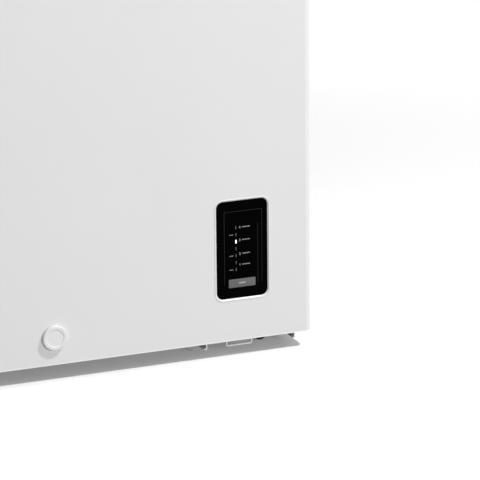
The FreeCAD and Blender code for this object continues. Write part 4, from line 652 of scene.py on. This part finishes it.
def adopt(name: str, mesh: bpy.types.Mesh, finish: Finish, body: Body) -> bpy.types.Object:
    """Put a mesh that is already in place into the scene as a piece of a body, with its finish."""
    made = shown(name, mesh)
    mesh.materials.append(finish.material())
    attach(made, body.value)
    log.info("piece %s: %d faces on %s", name, len(mesh.polygons), body.value)
    return made


def grid_faces(rows: int, columns: int, wrap_rows: bool, wrap_columns: bool) -> np.ndarray:
    """Quads that join a grid of points, row by row.

    Args:
        rows: how many rows of points.
        columns: how many points in a row.
        wrap_rows: whether the last row joins the first.
        wrap_columns: whether a row closes on itself.

    Returns:
        The corners of each quad.
    """
    row = np.arange(rows if wrap_rows else rows - 1)[:, None]
    column = np.arange(columns if wrap_columns else columns - 1)[None, :]
    next_row, next_column = (row + 1) % rows, (column + 1) % columns
    corners = (row * columns + column, row * columns + next_column,
               next_row * columns + next_column, next_row * columns + column)
    return np.stack([np.broadcast_to(c, (row.size, column.size)) for c in corners], axis=-1).reshape(-1, 4)


def joined(parts: Sequence[Mesh]) -> Mesh:
    """Several sets of points and faces as one."""
    starts = np.cumsum([0] + [len(points) for points, _ in parts[:-1]])
    return np.concatenate([points for points, _ in parts]), np.concatenate(
        [faces + start for (_, faces), start in zip(parts, starts)])


def bent_line(corners: Sequence[Sequence[float]], radius: float, steps: int = 6) -> np.ndarray:
    """A line through corners with each inner corner rounded by an arc.

    The arc touches both sides at radius / tan(half the corner's angle) from the corner, and its points are
    centre + radius * (cos t * a + sin t * b), where a and b are square and t runs over the turn.

    Args:
        corners: the corners, in order.
        radius: the arcs' radius.
        steps: how many points each arc has.

    Returns:
        The points of the line.
    """
    points = np.asarray(corners, float)
    line = [points[:1]]
    for before, corner, after in zip(points[:-2], points[1:-1], points[2:]):
        back = (before - corner) / np.linalg.norm(before - corner)
        ahead = (after - corner) / np.linalg.norm(after - corner)
        half = math.acos(float(np.clip(back @ ahead, -1, 1))) / 2
        middle = (back + ahead) / np.linalg.norm(back + ahead)
        centre = corner + middle * radius / math.sin(half)
        start = corner + back * radius / math.tan(half) - centre
        # Known fault: at a right angle start is parallel to ahead, so square is zero and the arc's points are
        # lost, and with them the basket's wires and hooks. The two lines below should be -radius * back.
        square = np.cross(np.cross(start, ahead), start)
        square *= radius / np.linalg.norm(square)
        turn = np.linspace(0, math.pi - 2 * half, steps)[:, None]
        line.append(centre + np.cos(turn) * start + np.sin(turn) * square)
    return np.concatenate([*line, points[-1:]])


def rounded_loop(centre: Sequence[float], size: Sequence[float], radius: float,
                 steps: int = 8) -> tuple[np.ndarray, np.ndarray]:
    """A rectangle with round corners in the XY plane.

    Each point is its corner's centre + radius * (cos t, sin t), with t a quarter turn for each corner.

    Args:
        centre: the middle, with its level as a third number.
        size: width and depth.
        radius: the corners' radius.
        steps: how many points each corner has.

    Returns:
        The points, and the outward direction at each.
    """
    quarter = np.linspace(0, math.pi / 2, steps)
    turn = (np.arange(4)[:, None] * math.pi / 2 + quarter[None, :]).ravel()
    outward = np.stack([np.cos(turn), np.sin(turn), np.zeros_like(turn)], axis=-1)
    signs = np.repeat(np.array([[1, 1], [-1, 1], [-1, -1], [1, -1]], float), steps, axis=0)
    middles = signs * (np.asarray(size[:2]) / 2 - radius)
    return np.asarray(centre) + np.c_[middles, np.zeros(len(middles))] + radius * outward, outward


def fan(hub: int, first: np.ndarray, second: np.ndarray) -> np.ndarray:
    """Triangles from a hub to pairs of points, as quads with a doubled last corner."""
    return np.stack([np.full(len(first), hub), first, second, second], axis=-1)


def capped(rings: np.ndarray, hubs: np.ndarray) -> Mesh:
    """Rings of points joined in order, and closed at both ends by a fan round a hub."""
    rows, columns = rings.shape[:2]
    first, hub = np.arange(columns), rows * columns
    last = first + hub - columns
    faces = [grid_faces(rows, columns, False, True), fan(hub, np.roll(first, -1), first),
             fan(hub + 1, last, np.roll(last, -1))]
    return np.concatenate([rings.reshape(-1, 3), hubs]), np.concatenate(faces)


def carried(path: np.ndarray, across: np.ndarray, rise: np.ndarray, outline: np.ndarray,
            closed: bool) -> Mesh:
    """An outline carried along a path: each point is path + u * across + v * rise.

    Args:
        path: the path's points.
        across: the direction of the outline's first number at each path point.
        rise: the direction of its second number, at each point or for all.
        outline: the outline's (u, v) points, anticlockwise as seen against the path's direction.
        closed: whether the path closes on itself; if not, its ends are capped with a fan.

    Returns:
        The points and the faces.
    """
    rise = np.broadcast_to(rise, path.shape)
    rings = (path[:, None, :] + outline[None, :, :1] * across[:, None, :]
             + outline[None, :, 1:] * rise[:, None, :])
    if closed:
        return rings.reshape(-1, 3), grid_faces(*rings.shape[:2], True, True)
    return capped(rings, path[[0, -1]])


def wire(path: np.ndarray, plane: Sequence[float], radius: float, closed: bool = False,
         sides: int = 10) -> Mesh:
    """A round wire along a flat path: a circle in the plane's normal and the path's own sideways direction.

    Args:
        path: the centre line.
        plane: the normal of the plane that the path lies in.
        radius: the wire's radius.
        closed: whether the path closes on itself.
        sides: how many faces go round the wire.

    Returns:
        The points and the faces.
    """
    if closed:
        along = np.roll(path, -1, axis=0) - np.roll(path, 1, axis=0)
    else:
        along = np.gradient(path, axis=0)
    along /= np.linalg.norm(along, axis=1)[:, None]
    normal = np.asarray(plane, float)
    across = np.cross(along, normal)
    turn = np.linspace(0, 2 * math.pi, sides, endpoint=False)
    outline = radius * np.stack([np.cos(turn), np.sin(turn)], axis=-1)
    return carried(path, across, normal, outline[::-1], closed)


def triangles_kept(faces: np.ndarray) -> list[list[int]]:
    """Faces as lists, with a doubled last corner dropped."""
    return [face[:3] if face[2] == face[3] else face for face in faces.tolist()]


def plate(centre: Sequence[float], size: Sequence[float], thick: float, radius: float,
          steps: int = 6) -> Mesh:
    """An upright plate that faces the front: a rounded rectangle in XZ with a crowned front.

    The outline's rings shrink inwards as the face rises by a quarter circle at its edge.

    Args:
        centre: the middle of its back.
        size: width and height.
        thick: how far it stands out towards the front.
        radius: the corners' radius.
        steps: how many points each corner has.

    Returns:
        The points and the faces.
    """
    loop, outward = rounded_loop((0, 0, 0), size, radius, steps)
    edge = min(thick, radius) / 2
    turn = np.linspace(0, math.pi / 2, EDGE_STEPS)
    inset = np.concatenate([[0.0], edge * (1 - np.cos(turn))])
    depth = np.concatenate([[0.0], thick - edge + edge * np.sin(turn)])
    rings = loop[None] - outward[None] * inset[:, None, None]
    level = np.broadcast_to(-depth[:, None], rings.shape[:2])
    flat = np.stack([rings[..., 0], level, rings[..., 1]], axis=-1)
    points, faces = capped(flat, np.array([[0, 0, 0], [0, -thick, 0]], float))
    return points + np.asarray(centre, float), faces


def face_outwards(mesh: bpy.types.Mesh) -> None:
    """Turn a closed mesh's faces outwards, by the sign of its volume."""
    points = np.empty(len(mesh.vertices) * 3)
    mesh.vertices.foreach_get("co", points)
    points = points.reshape(-1, 3)
    mesh.calc_loop_triangles()
    corners = np.empty(len(mesh.loop_triangles) * 3, int)
    mesh.loop_triangles.foreach_get("vertices", corners)
    a, b, c = (points[corners.reshape(-1, 3)[:, n]] for n in range(3))
    if np.einsum("ij,ij->", a, np.cross(b, c)) < 0:
        mesh.flip_normals()


def make(name: str, parts: Sequence[Mesh], finish: Finish, body: Body) -> bpy.types.Object:
    """Join parts into one piece whose faces point outwards.

    Args:
        name: the piece's name.
        parts: points and faces of each part.
        finish: its finish.
        body: the body that it rides on.

    Returns:
        The piece.
    """
    points, faces = joined(parts)
    mesh = bpy.data.meshes.new(name)
    mesh.from_pydata(points.tolist(), [], triangles_kept(faces))
    mesh.polygons.foreach_set("use_smooth", np.full(len(mesh.polygons), True))
    mesh.update()
    face_outwards(mesh)
    return adopt(name, mesh, finish, body)


# ---------------------------------------------------------------- sub-assemblies


@dataclass
class Cabinet:
    """Everything that keeps the shape the frame gives it: its nodes only need their finishes."""

    frame: dict[str, Any]

    def dress(self) -> None:
        """Give each node of the frame the finish of its slot."""
        for part in self.frame["record"]["subparts"]:
            node = self.frame["nodes"][part["node"]]
            finish = FINISHES[Slot(part["material_slot"])]
            node.data.materials.clear()
            node.data.materials.append(finish.material())
            log.info("node %s: %s", part["node"], finish.name)


@dataclass
class WireBasket:
    """The hanging basket, of welded and coated wires, in place of the frame's plain box."""

    rim_radius: float = 2.5 * MM
    wire_radius: float = 1.5 * MM
    corner: float = 16 * MM
    foot: float = 12 * MM
    cross_pitch: float = 24 * MM
    long_pitch: float = 30 * MM
    belt_share: float = 0.5
    hook_from_side: float = 20 * MM
    hook_drop: float = 45 * MM
    hook_bend: float = 5 * MM
    hook_reach: float = 28 * MM
    rim_gap: float = 2 * MM
    wire_sides: int = 8

    def __post_init__(self) -> None:
        """Take the basket's box from the frame; the rim lies where the box's walls end, below the hooks."""
        low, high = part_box("wire_basket")
        self.low, self.high = np.array(low), np.array(high)
        self.left, self.right = low.x, high.x
        self.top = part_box("top_frame")[0].z - self.rim_gap
        self.front = self.low[1] + self.hook_reach
        self.rear = self.high[1] - self.hook_reach

    def ring(self, level: float, radius: float, inset: float = 0.0) -> Mesh:
        """A wire round the basket at a level, with its outer side on the basket's outline less an inset."""
        centre = ((self.left + self.right) / 2, (self.front + self.rear) / 2, level)
        size = np.array([self.right - self.left, self.rear - self.front]) - 2 * (radius + inset)
        loop, _ = rounded_loop(centre, size, self.corner - radius - inset)
        return wire(loop, (0, 0, 1), radius, closed=True)

    def hoops(self, places: np.ndarray, long_way: bool) -> list[Mesh]:
        """U-shaped wires from the rim down one wall, across the floor and up the other wall.

        Args:
            places: where the wires stand, across (for the long way) or front to back.
            long_way: whether the wires run front to back.

        Returns:
            A closed tube for each wire.
        """
        skin = 2 * self.rim_radius + self.wire_radius
        floor = self.low[2] + self.wire_radius + (2 * self.wire_radius if long_way else 0.0)
        ends = (self.front + skin, self.rear - skin) if long_way else (self.left + skin, self.right - skin)
        heights = (self.top - self.rim_radius, floor, floor, self.top - self.rim_radius)
        spots = (ends[0], ends[0], ends[1], ends[1])
        tubes = []
        for place in places:
            corners = [(place, s, h) if long_way else (s, place, h) for s, h in zip(spots, heights)]
            plane = (1, 0, 0) if long_way else (0, 1, 0)
            line = bent_line(corners, self.foot)
            tubes.append(wire(line, plane, self.wire_radius, sides=self.wire_sides))
        return tubes

    def spaced(self, low: float, high: float, pitch: float, keep: float) -> np.ndarray:
        """Even places from low to high, kept off both ends, with a step near the pitch."""
        span = high - low - 2 * keep
        return np.linspace(low + keep, high - keep, max(2, round(span / pitch) + 1))

    def hooks(self) -> list[Mesh]:
        """Four hooks: each runs up the end wall, bends outwards and lies on the mouth's frame."""
        tubes = []
        level = self.high[2] - self.rim_radius
        for x in (self.left + self.hook_from_side, self.right - self.hook_from_side):
            for wall, tip, way in ((self.front, self.low[1], 1), (self.rear, self.high[1], -1)):
                up = wall + way * self.rim_radius
                corners = [(x, up, self.top - self.hook_drop), (x, up, level),
                           (x, tip + way * self.rim_radius, level)]
                tubes.append(wire(bent_line(corners, self.hook_bend), (1, 0, 0), self.rim_radius))
        return tubes

    def build(self) -> None:
        """The rim and belt rings, the hoops both ways and the hooks."""
        finish = FINISHES[Slot.COATED_WIRE]
        belt = self.low[2] + self.belt_share * (self.top - self.low[2])
        rings = [self.ring(self.top - self.rim_radius, self.rim_radius),
                 self.ring(belt, self.wire_radius, 2 * self.rim_radius - self.wire_radius)]
        rim = make("basket_rings", rings, finish, Body.BASKET)
        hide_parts("wire_basket")
        across = self.spaced(self.left, self.right, self.long_pitch, self.corner)
        along = self.spaced(self.front, self.rear, self.cross_pitch, self.corner)
        for name, wires in (("basket_long_wires", self.hoops(across, True)),
                            ("basket_cross_wires", self.hoops(along, False)),
                            ("basket_hooks", self.hooks())):
            make(name, wires, finish, Body.BASKET)


@dataclass
class LidSeal:
    """The magnetic seal: a foot in the lid, a folded bellows and a magnet's pocket, as one strip."""

    strip: float = 16 * MM
    corner: float = 22 * MM
    foot_share: float = 0.2
    pocket_share: float = 0.34
    pocket_half: float = 0.34
    foot_half: float = 0.42
    neck_half: float = 0.2
    fold: float = 0.1
    least_half: float = 0.04
    pocket_power: int = 4
    foot_power: int = 6
    steps: int = 34
    corner_steps: int = 12

    @staticmethod
    def rounded(place: np.ndarray, power: int) -> np.ndarray:
        """A super-ellipse's half width: 1 in the middle, at place 0, and 0 at its ends, at -1 and 1."""
        return np.clip(1 - np.abs(place) ** power, 0, 1) ** (1 / power)

    def outline(self) -> np.ndarray:
        """Half widths by height: a super-ellipse pocket below, two cosine folds, and a flat foot above.

        Returns:
            The outline's (outwards, up) points, from 0 to 1 in height, closed and anticlockwise.
        """
        up = np.linspace(0, 1, self.steps)
        pocket = self.pocket_half * self.rounded(2 * up / self.pocket_share - 1, self.pocket_power)
        middle = (up - self.pocket_share) / (1 - self.foot_share - self.pocket_share)
        folds = self.neck_half + self.fold * np.cos(4 * math.pi * middle)
        foot = self.foot_half * self.rounded(2 * (1 - up) / self.foot_share - 1, self.foot_power)
        half = np.where(up < self.pocket_share, pocket, np.where(up > 1 - self.foot_share, foot, folds))
        half = np.maximum(half, self.least_half)
        right = np.stack([half, up], axis=-1)
        return np.concatenate([right, right[::-1] * (-1, 1)])

    def build(self) -> None:
        """Carry the outline round the lid, in the seal's own box."""
        low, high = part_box("lid_gasket")
        centre = ((low.x + high.x) / 2, (low.y + high.y) / 2, low.z)
        size = np.array([high.x - low.x, high.y - low.y]) - self.strip
        loop, outward = rounded_loop(centre, size, self.corner, self.corner_steps)
        outline = self.outline() * (self.strip, high.z - low.z)
        seal = make("lid_seal_bellows", [carried(loop, outward, np.array([0.0, 0.0, 1.0]), outline, True)],
                    FINISHES[Slot.SEAL], Body.LID)
        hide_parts("lid_gasket")


@dataclass
class TouchPanel:
    """The marks of the touch panel, a hair proud of its glass: a scale of ticks, level numbers and a key.

    Places are from the glass's centre, to the right and up.
    """

    proud: float = 0.05 * MM
    scale_x: float = -9.2 * MM
    scale_top: float = 33.4 * MM
    pitch: float = 10.67 * MM
    ticks: int = 7
    tick_size: tuple[float, float] = (0.7 * MM, 4.8 * MM)
    lit_tick: int = 2
    lit_size: tuple[float, float] = (2.2 * MM, 5.8 * MM)
    dash_x: float = -16.7 * MM
    dash_size: tuple[float, float] = (6.6 * MM, 1.0 * MM)
    dashed_ticks: tuple[int, ...] = (1, 4, 6)
    number_x: float = -4.6 * MM
    number_z: tuple[float, ...] = (33.6 * MM, 14.2 * MM, -6.7 * MM, -23.4 * MM)
    number_tall: float = 3.8 * MM
    strip_x: float = 6.4 * MM
    strip_size: tuple[float, float] = (13.0 * MM, 1.5 * MM)
    key_z: float = -51.6 * MM
    key_size: tuple[float, float] = (42 * MM, 12.8 * MM)
    key_round: float = 1.2 * MM
    bar_size: tuple[float, float] = (11.0 * MM, 2.4 * MM)
    window_left: float = -27.5 * MM
    window_right: float = 31.5 * MM
    window_low: float = -53.2 * MM
    window_top: float = 58 * MM
    line_wide: float = 0.7 * MM
    groove_x: float = 25 * MM
    groove_top: float = 36 * MM
    corner_steps: int = 4
    letter_scale: float = 1.4

    def __post_init__(self) -> None:
        """Find the glass's front face."""
        low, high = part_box("control_glass")
        self.centre = Vector(((low.x + high.x) / 2, low.y, (low.z + high.z) / 2))

    def mark(self, x: float, z: float, size: Sequence[float], radius: Optional[float] = None,
             above: float = 0.0) -> Mesh:
        """A thin printed mark whose back lies just inside the glass's face.

        Args:
            x: its middle, to the right.
            z: its middle, up.
            size: width and height.
            radius: its corners' radius; without one, its short ends are round.
            above: how far it is set further out, to lie on another mark.

        Returns:
            The points and the faces.
        """
        spot = (self.centre.x + x, self.centre.y + self.proud - above, self.centre.z + z)
        return plate(spot, size, 2 * self.proud, radius or min(size) / BLUNT, self.corner_steps)

    def lines(self) -> list[Mesh]:
        """The thin lines round the display window, and the one inside its right edge."""
        wide, tall = self.window_right - self.window_left, self.window_top - self.window_low
        middle = ((self.window_left + self.window_right) / 2, (self.window_low + self.window_top) / 2)
        line = self.line_wide
        groove_tall = self.groove_top - self.window_low
        rows = [
            (self.window_left, middle[1], (line, tall)),
            (self.window_right, middle[1], (line, tall)),
            (middle[0], self.window_top, (wide, line)),
            (self.groove_x, self.window_low + groove_tall / 2, (line, groove_tall)),
        ]
        return [self.mark(*row) for row in rows]

    def numbers(self) -> bpy.types.Object:
        """Plain level numbers, the highest at the top, as one piece."""
        vertices, faces = [], []
        for place, z in enumerate(self.number_z):
            curve = bpy.data.curves.new(f"level_{place}", "FONT")
            curve.body = str(len(self.number_z) - place)
            curve.size = self.number_tall * self.letter_scale
            curve.extrude = self.proud
            holder = bpy.data.objects.new(curve.name, curve)
            mesh = bpy.data.meshes.new_from_object(holder)
            low_z = self.centre.z + z - self.number_tall / 2
            mesh.transform(Matrix.Translation((self.centre.x + self.number_x, self.centre.y, low_z))
                           @ Matrix.Rotation(math.pi / 2, 4, "X"))
            bpy.data.objects.remove(holder)
            start = len(vertices)
            vertices += [tuple(v.co) for v in mesh.vertices]
            faces += [[start + v for v in face.vertices] for face in mesh.polygons]
        whole = bpy.data.meshes.new("panel_numbers")
        whole.from_pydata(vertices, [], faces)
        ink = Print("number_print", grey(0.36), 0.15)
        return adopt("panel_numbers", whole, ink, Body.CABINET)

    def build(self) -> None:
        """Ticks, the lit tick, dashes, numbers, the key and the window's lines."""
        levels = self.scale_top - self.pitch * np.arange(self.ticks)
        dim = [self.mark(self.scale_x, z, self.tick_size)
               for n, z in enumerate(levels) if n != self.lit_tick]
        dim += [self.mark(self.dash_x, levels[n], self.dash_size) for n in self.dashed_ticks]
        dim += [self.mark(self.strip_x, z, self.strip_size) for z in self.number_z]
        lit = self.mark(self.scale_x, levels[self.lit_tick], self.lit_size)
        key = self.mark(0.0, self.key_z, self.key_size, self.key_round)
        bar = self.mark(0.0, self.key_z, self.bar_size, above=self.proud)
        for name, marks, ink in (
                ("panel_ticks", dim, Print("tick_print", grey(0.2), 0.1)),
                ("panel_lit_tick", [lit], Print("lit_mark", grey(0.95), 0.9)),
                ("panel_key", [key], Print("key_print", grey(0.105), 0.3)),
                ("panel_key_bar", [bar], Print("bar_print", grey(0.3), 0.2)),
                ("panel_window", self.lines(), Print("window_line", grey(0.012), 0.2))):
            make(name, marks, ink, Body.CABINET)
        self.numbers()


# ---------------------------------------------------------------- floor, lamps and camera


@dataclass
class Studio:
    """A white floor, a white sky, a small high lamp and a wide low one in front, and the camera."""

    yaw: float = 21.698
    pitch: float = 16.867
    roll: float = -0.519
    focal: float = 263.51
    far: float = 5.133
    aim: tuple[float, float, float] = (-3.37 * MM, 0.0, 14.27 * MM)
    lamp_far: float = 6.0
    top_way: tuple[float, float, float] = (0.41, -0.33, 0.85)
    top_level: float = 0.78
    top_size: float = 0.5
    front_way: tuple[float, float, float] = (0.25, -0.93, 0.28)
    front_level: float = 0.42
    front_size: float = 1.0
    sky: float = 0.27
    floor_size: float = 60.0
    floor_points: int = 9
    floor_grain: float = 0.4 * MM
    grain_swing: float = 0.01
    floor_albedo: float = 0.44
    floor_glow: float = 0.11
    glow_from: float = 0.5
    glow_to: float = 1.1
    mirror_to: float = 0.12
    sensor: float = 36.0
    see_to: float = 100.0

    def rays(self, recipe: Recipe, *kinds: str) -> Wire:
        """1 for these kinds of rays, and 0 for others."""
        seen = [recipe.add("ShaderNodeLightPath", out=f"Is {kind} Ray") for kind in kinds]
        total = seen[0]
        for other in seen[1:]:
            total = total.at_least(other)
        return total

    def make_world(self) -> None:
        """A white sky for the camera and for reflections, and a softer one as light."""
        world = bpy.data.worlds.new("sky")
        world.use_nodes = True
        bpy.context.scene.world = world
        recipe = Recipe(world.node_tree)
        seen = self.rays(recipe, "Camera", "Glossy", "Transmission")
        strength = self.sky + (1 - self.sky) * seen
        sky = recipe.add("ShaderNodeBackground", sockets={"Color": (1, 1, 1, 1), "Strength": strength})
        recipe.add("ShaderNodeOutputWorld", sockets={"Surface": sky})

    def make_floor(self) -> None:
        """A white floor that keeps the shadow near the freezer and turns pure white further out."""
        far_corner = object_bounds()[1]
        side = np.linspace(-self.floor_size / 2, self.floor_size / 2, self.floor_points)
        x, y = np.meshgrid(side, side, indexing="xy")
        points = np.stack([x, y, np.zeros_like(x)], axis=-1).reshape(-1, 3)
        mesh = bpy.data.meshes.new("floor")
        mesh.from_pydata(points.tolist(), [], grid_faces(len(side), len(side), False, False).tolist())
        floor = shown("floor", mesh)
        material = bpy.data.materials.new("floor_white")
        material.use_nodes = True
        mesh.materials.append(material)
        recipe = Recipe(material.node_tree)
        seen = self.rays(recipe, "Camera")
        reflected = self.rays(recipe, "Glossy", "Transmission")
        grain = recipe.noise(self.floor_grain, 2.0)
        albedo = self.floor_albedo + (1 - self.floor_albedo) * seen - self.grain_swing * grain
        past = [(recipe.axis(letter).size() - half).at_least(0.0)
                for letter, half in (("X", far_corner.x), ("Y", far_corner.y))]
        away = (past[0] * past[0] + past[1] * past[1]) ** 0.5
        outside = away.within(self.glow_from, self.glow_to)
        share = seen * (self.floor_glow + (1 - self.floor_glow) * outside)
        mirrored = reflected * away.within(0.0, self.mirror_to)
        colour = recipe.add("ShaderNodeCombineColor", sockets={0: albedo, 1: albedo, 2: albedo})
        matt = recipe.add("ShaderNodeBsdfDiffuse", sockets={"Color": colour})
        white = recipe.add("ShaderNodeEmission", sockets={"Color": (1, 1, 1, 1), "Strength": 1.0})
        share = share.at_least(mirrored)
        recipe.close(recipe.add("ShaderNodeMixShader", sockets={0: share, 1: matt, 2: white}))
        floor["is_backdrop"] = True

    def make_lamp(self, name: str, way: Sequence[float], level: float, size: float) -> None:
        """A round lamp that faces the cabinet's lower right corner from far away.

        Its power is level * pi squared * distance squared, so a white sheet square to it has that level.

        Args:
            name: the lamp's name.
            way: the way from the corner to the lamp.
            level: how bright it makes a white sheet.
            size: its diameter; a small lamp's shadow has a sharp edge.
        """
        low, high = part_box("outer_wrapper")
        corner = Vector((high.x, low.y, low.z))
        lamp = bpy.data.lights.new(name, "AREA")
        lamp.shape = "DISK"
        lamp.size = size
        lamp.energy = level * math.pi**2 * self.lamp_far**2
        holder = shown(name, lamp)
        towards = Vector(way).normalized()
        holder.location = corner + towards * self.lamp_far
        holder.rotation_mode = "QUATERNION"
        holder.rotation_quaternion = towards.to_track_quat("Z", "Y")

    def make_camera(self) -> None:
        """A long lens, to the left of the panel and above it, turned to the right and down."""
        low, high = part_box("control_glass")
        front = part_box("outer_wrapper")[0].y
        target = Vector(((low.x + high.x) / 2, front, (low.z + high.z) / 2)) + Vector(self.aim)
        yaw, pitch, roll = (math.radians(angle) for angle in (self.yaw, self.pitch, self.roll))
        ahead = Vector((math.sin(yaw) * math.cos(pitch), math.cos(yaw) * math.cos(pitch), -math.sin(pitch)))
        right = Vector((math.cos(yaw), -math.sin(yaw), 0.0))
        up = right.cross(ahead)
        turned_right = math.cos(roll) * right + math.sin(roll) * up
        turned_up = math.cos(roll) * up - math.sin(roll) * right
        camera = bpy.data.cameras.new("camera")
        camera.lens = self.focal
        camera.sensor_width = self.sensor
        camera.clip_end = self.see_to
        holder = shown("camera", camera)
        place = target - self.far * ahead
        rows = [turned_right, turned_up, -ahead]
        holder.matrix_world = Matrix([[rows[c][r] for c in range(3)] + [place[r]] for r in range(3)]
                                     + [[0.0, 0.0, 0.0, 1.0]])
        bpy.context.scene.camera = holder

    def build(self) -> None:
        """Sky, floor, lamps and camera, shown with plain colours."""
        bpy.context.scene.view_settings.view_transform = "Standard"
        self.make_world()
        self.make_floor()
        self.make_lamp("top_lamp", self.top_way, self.top_level, self.top_size)
        self.make_lamp("front_lamp", self.front_way, self.front_level, self.front_size)
        self.make_camera()


def main() -> None:
    """Load the frame, dress it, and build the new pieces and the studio."""
    logging.basicConfig(level=logging.INFO, format="%(message)s")
    for old in list(bpy.data.objects):
        bpy.data.objects.remove(old)
    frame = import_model()
    Cabinet(frame).dress()
    WireBasket().build()
    LidSeal().build()
    TouchPanel().build()
    Studio().build()


if __name__ == "__main__":
    main()
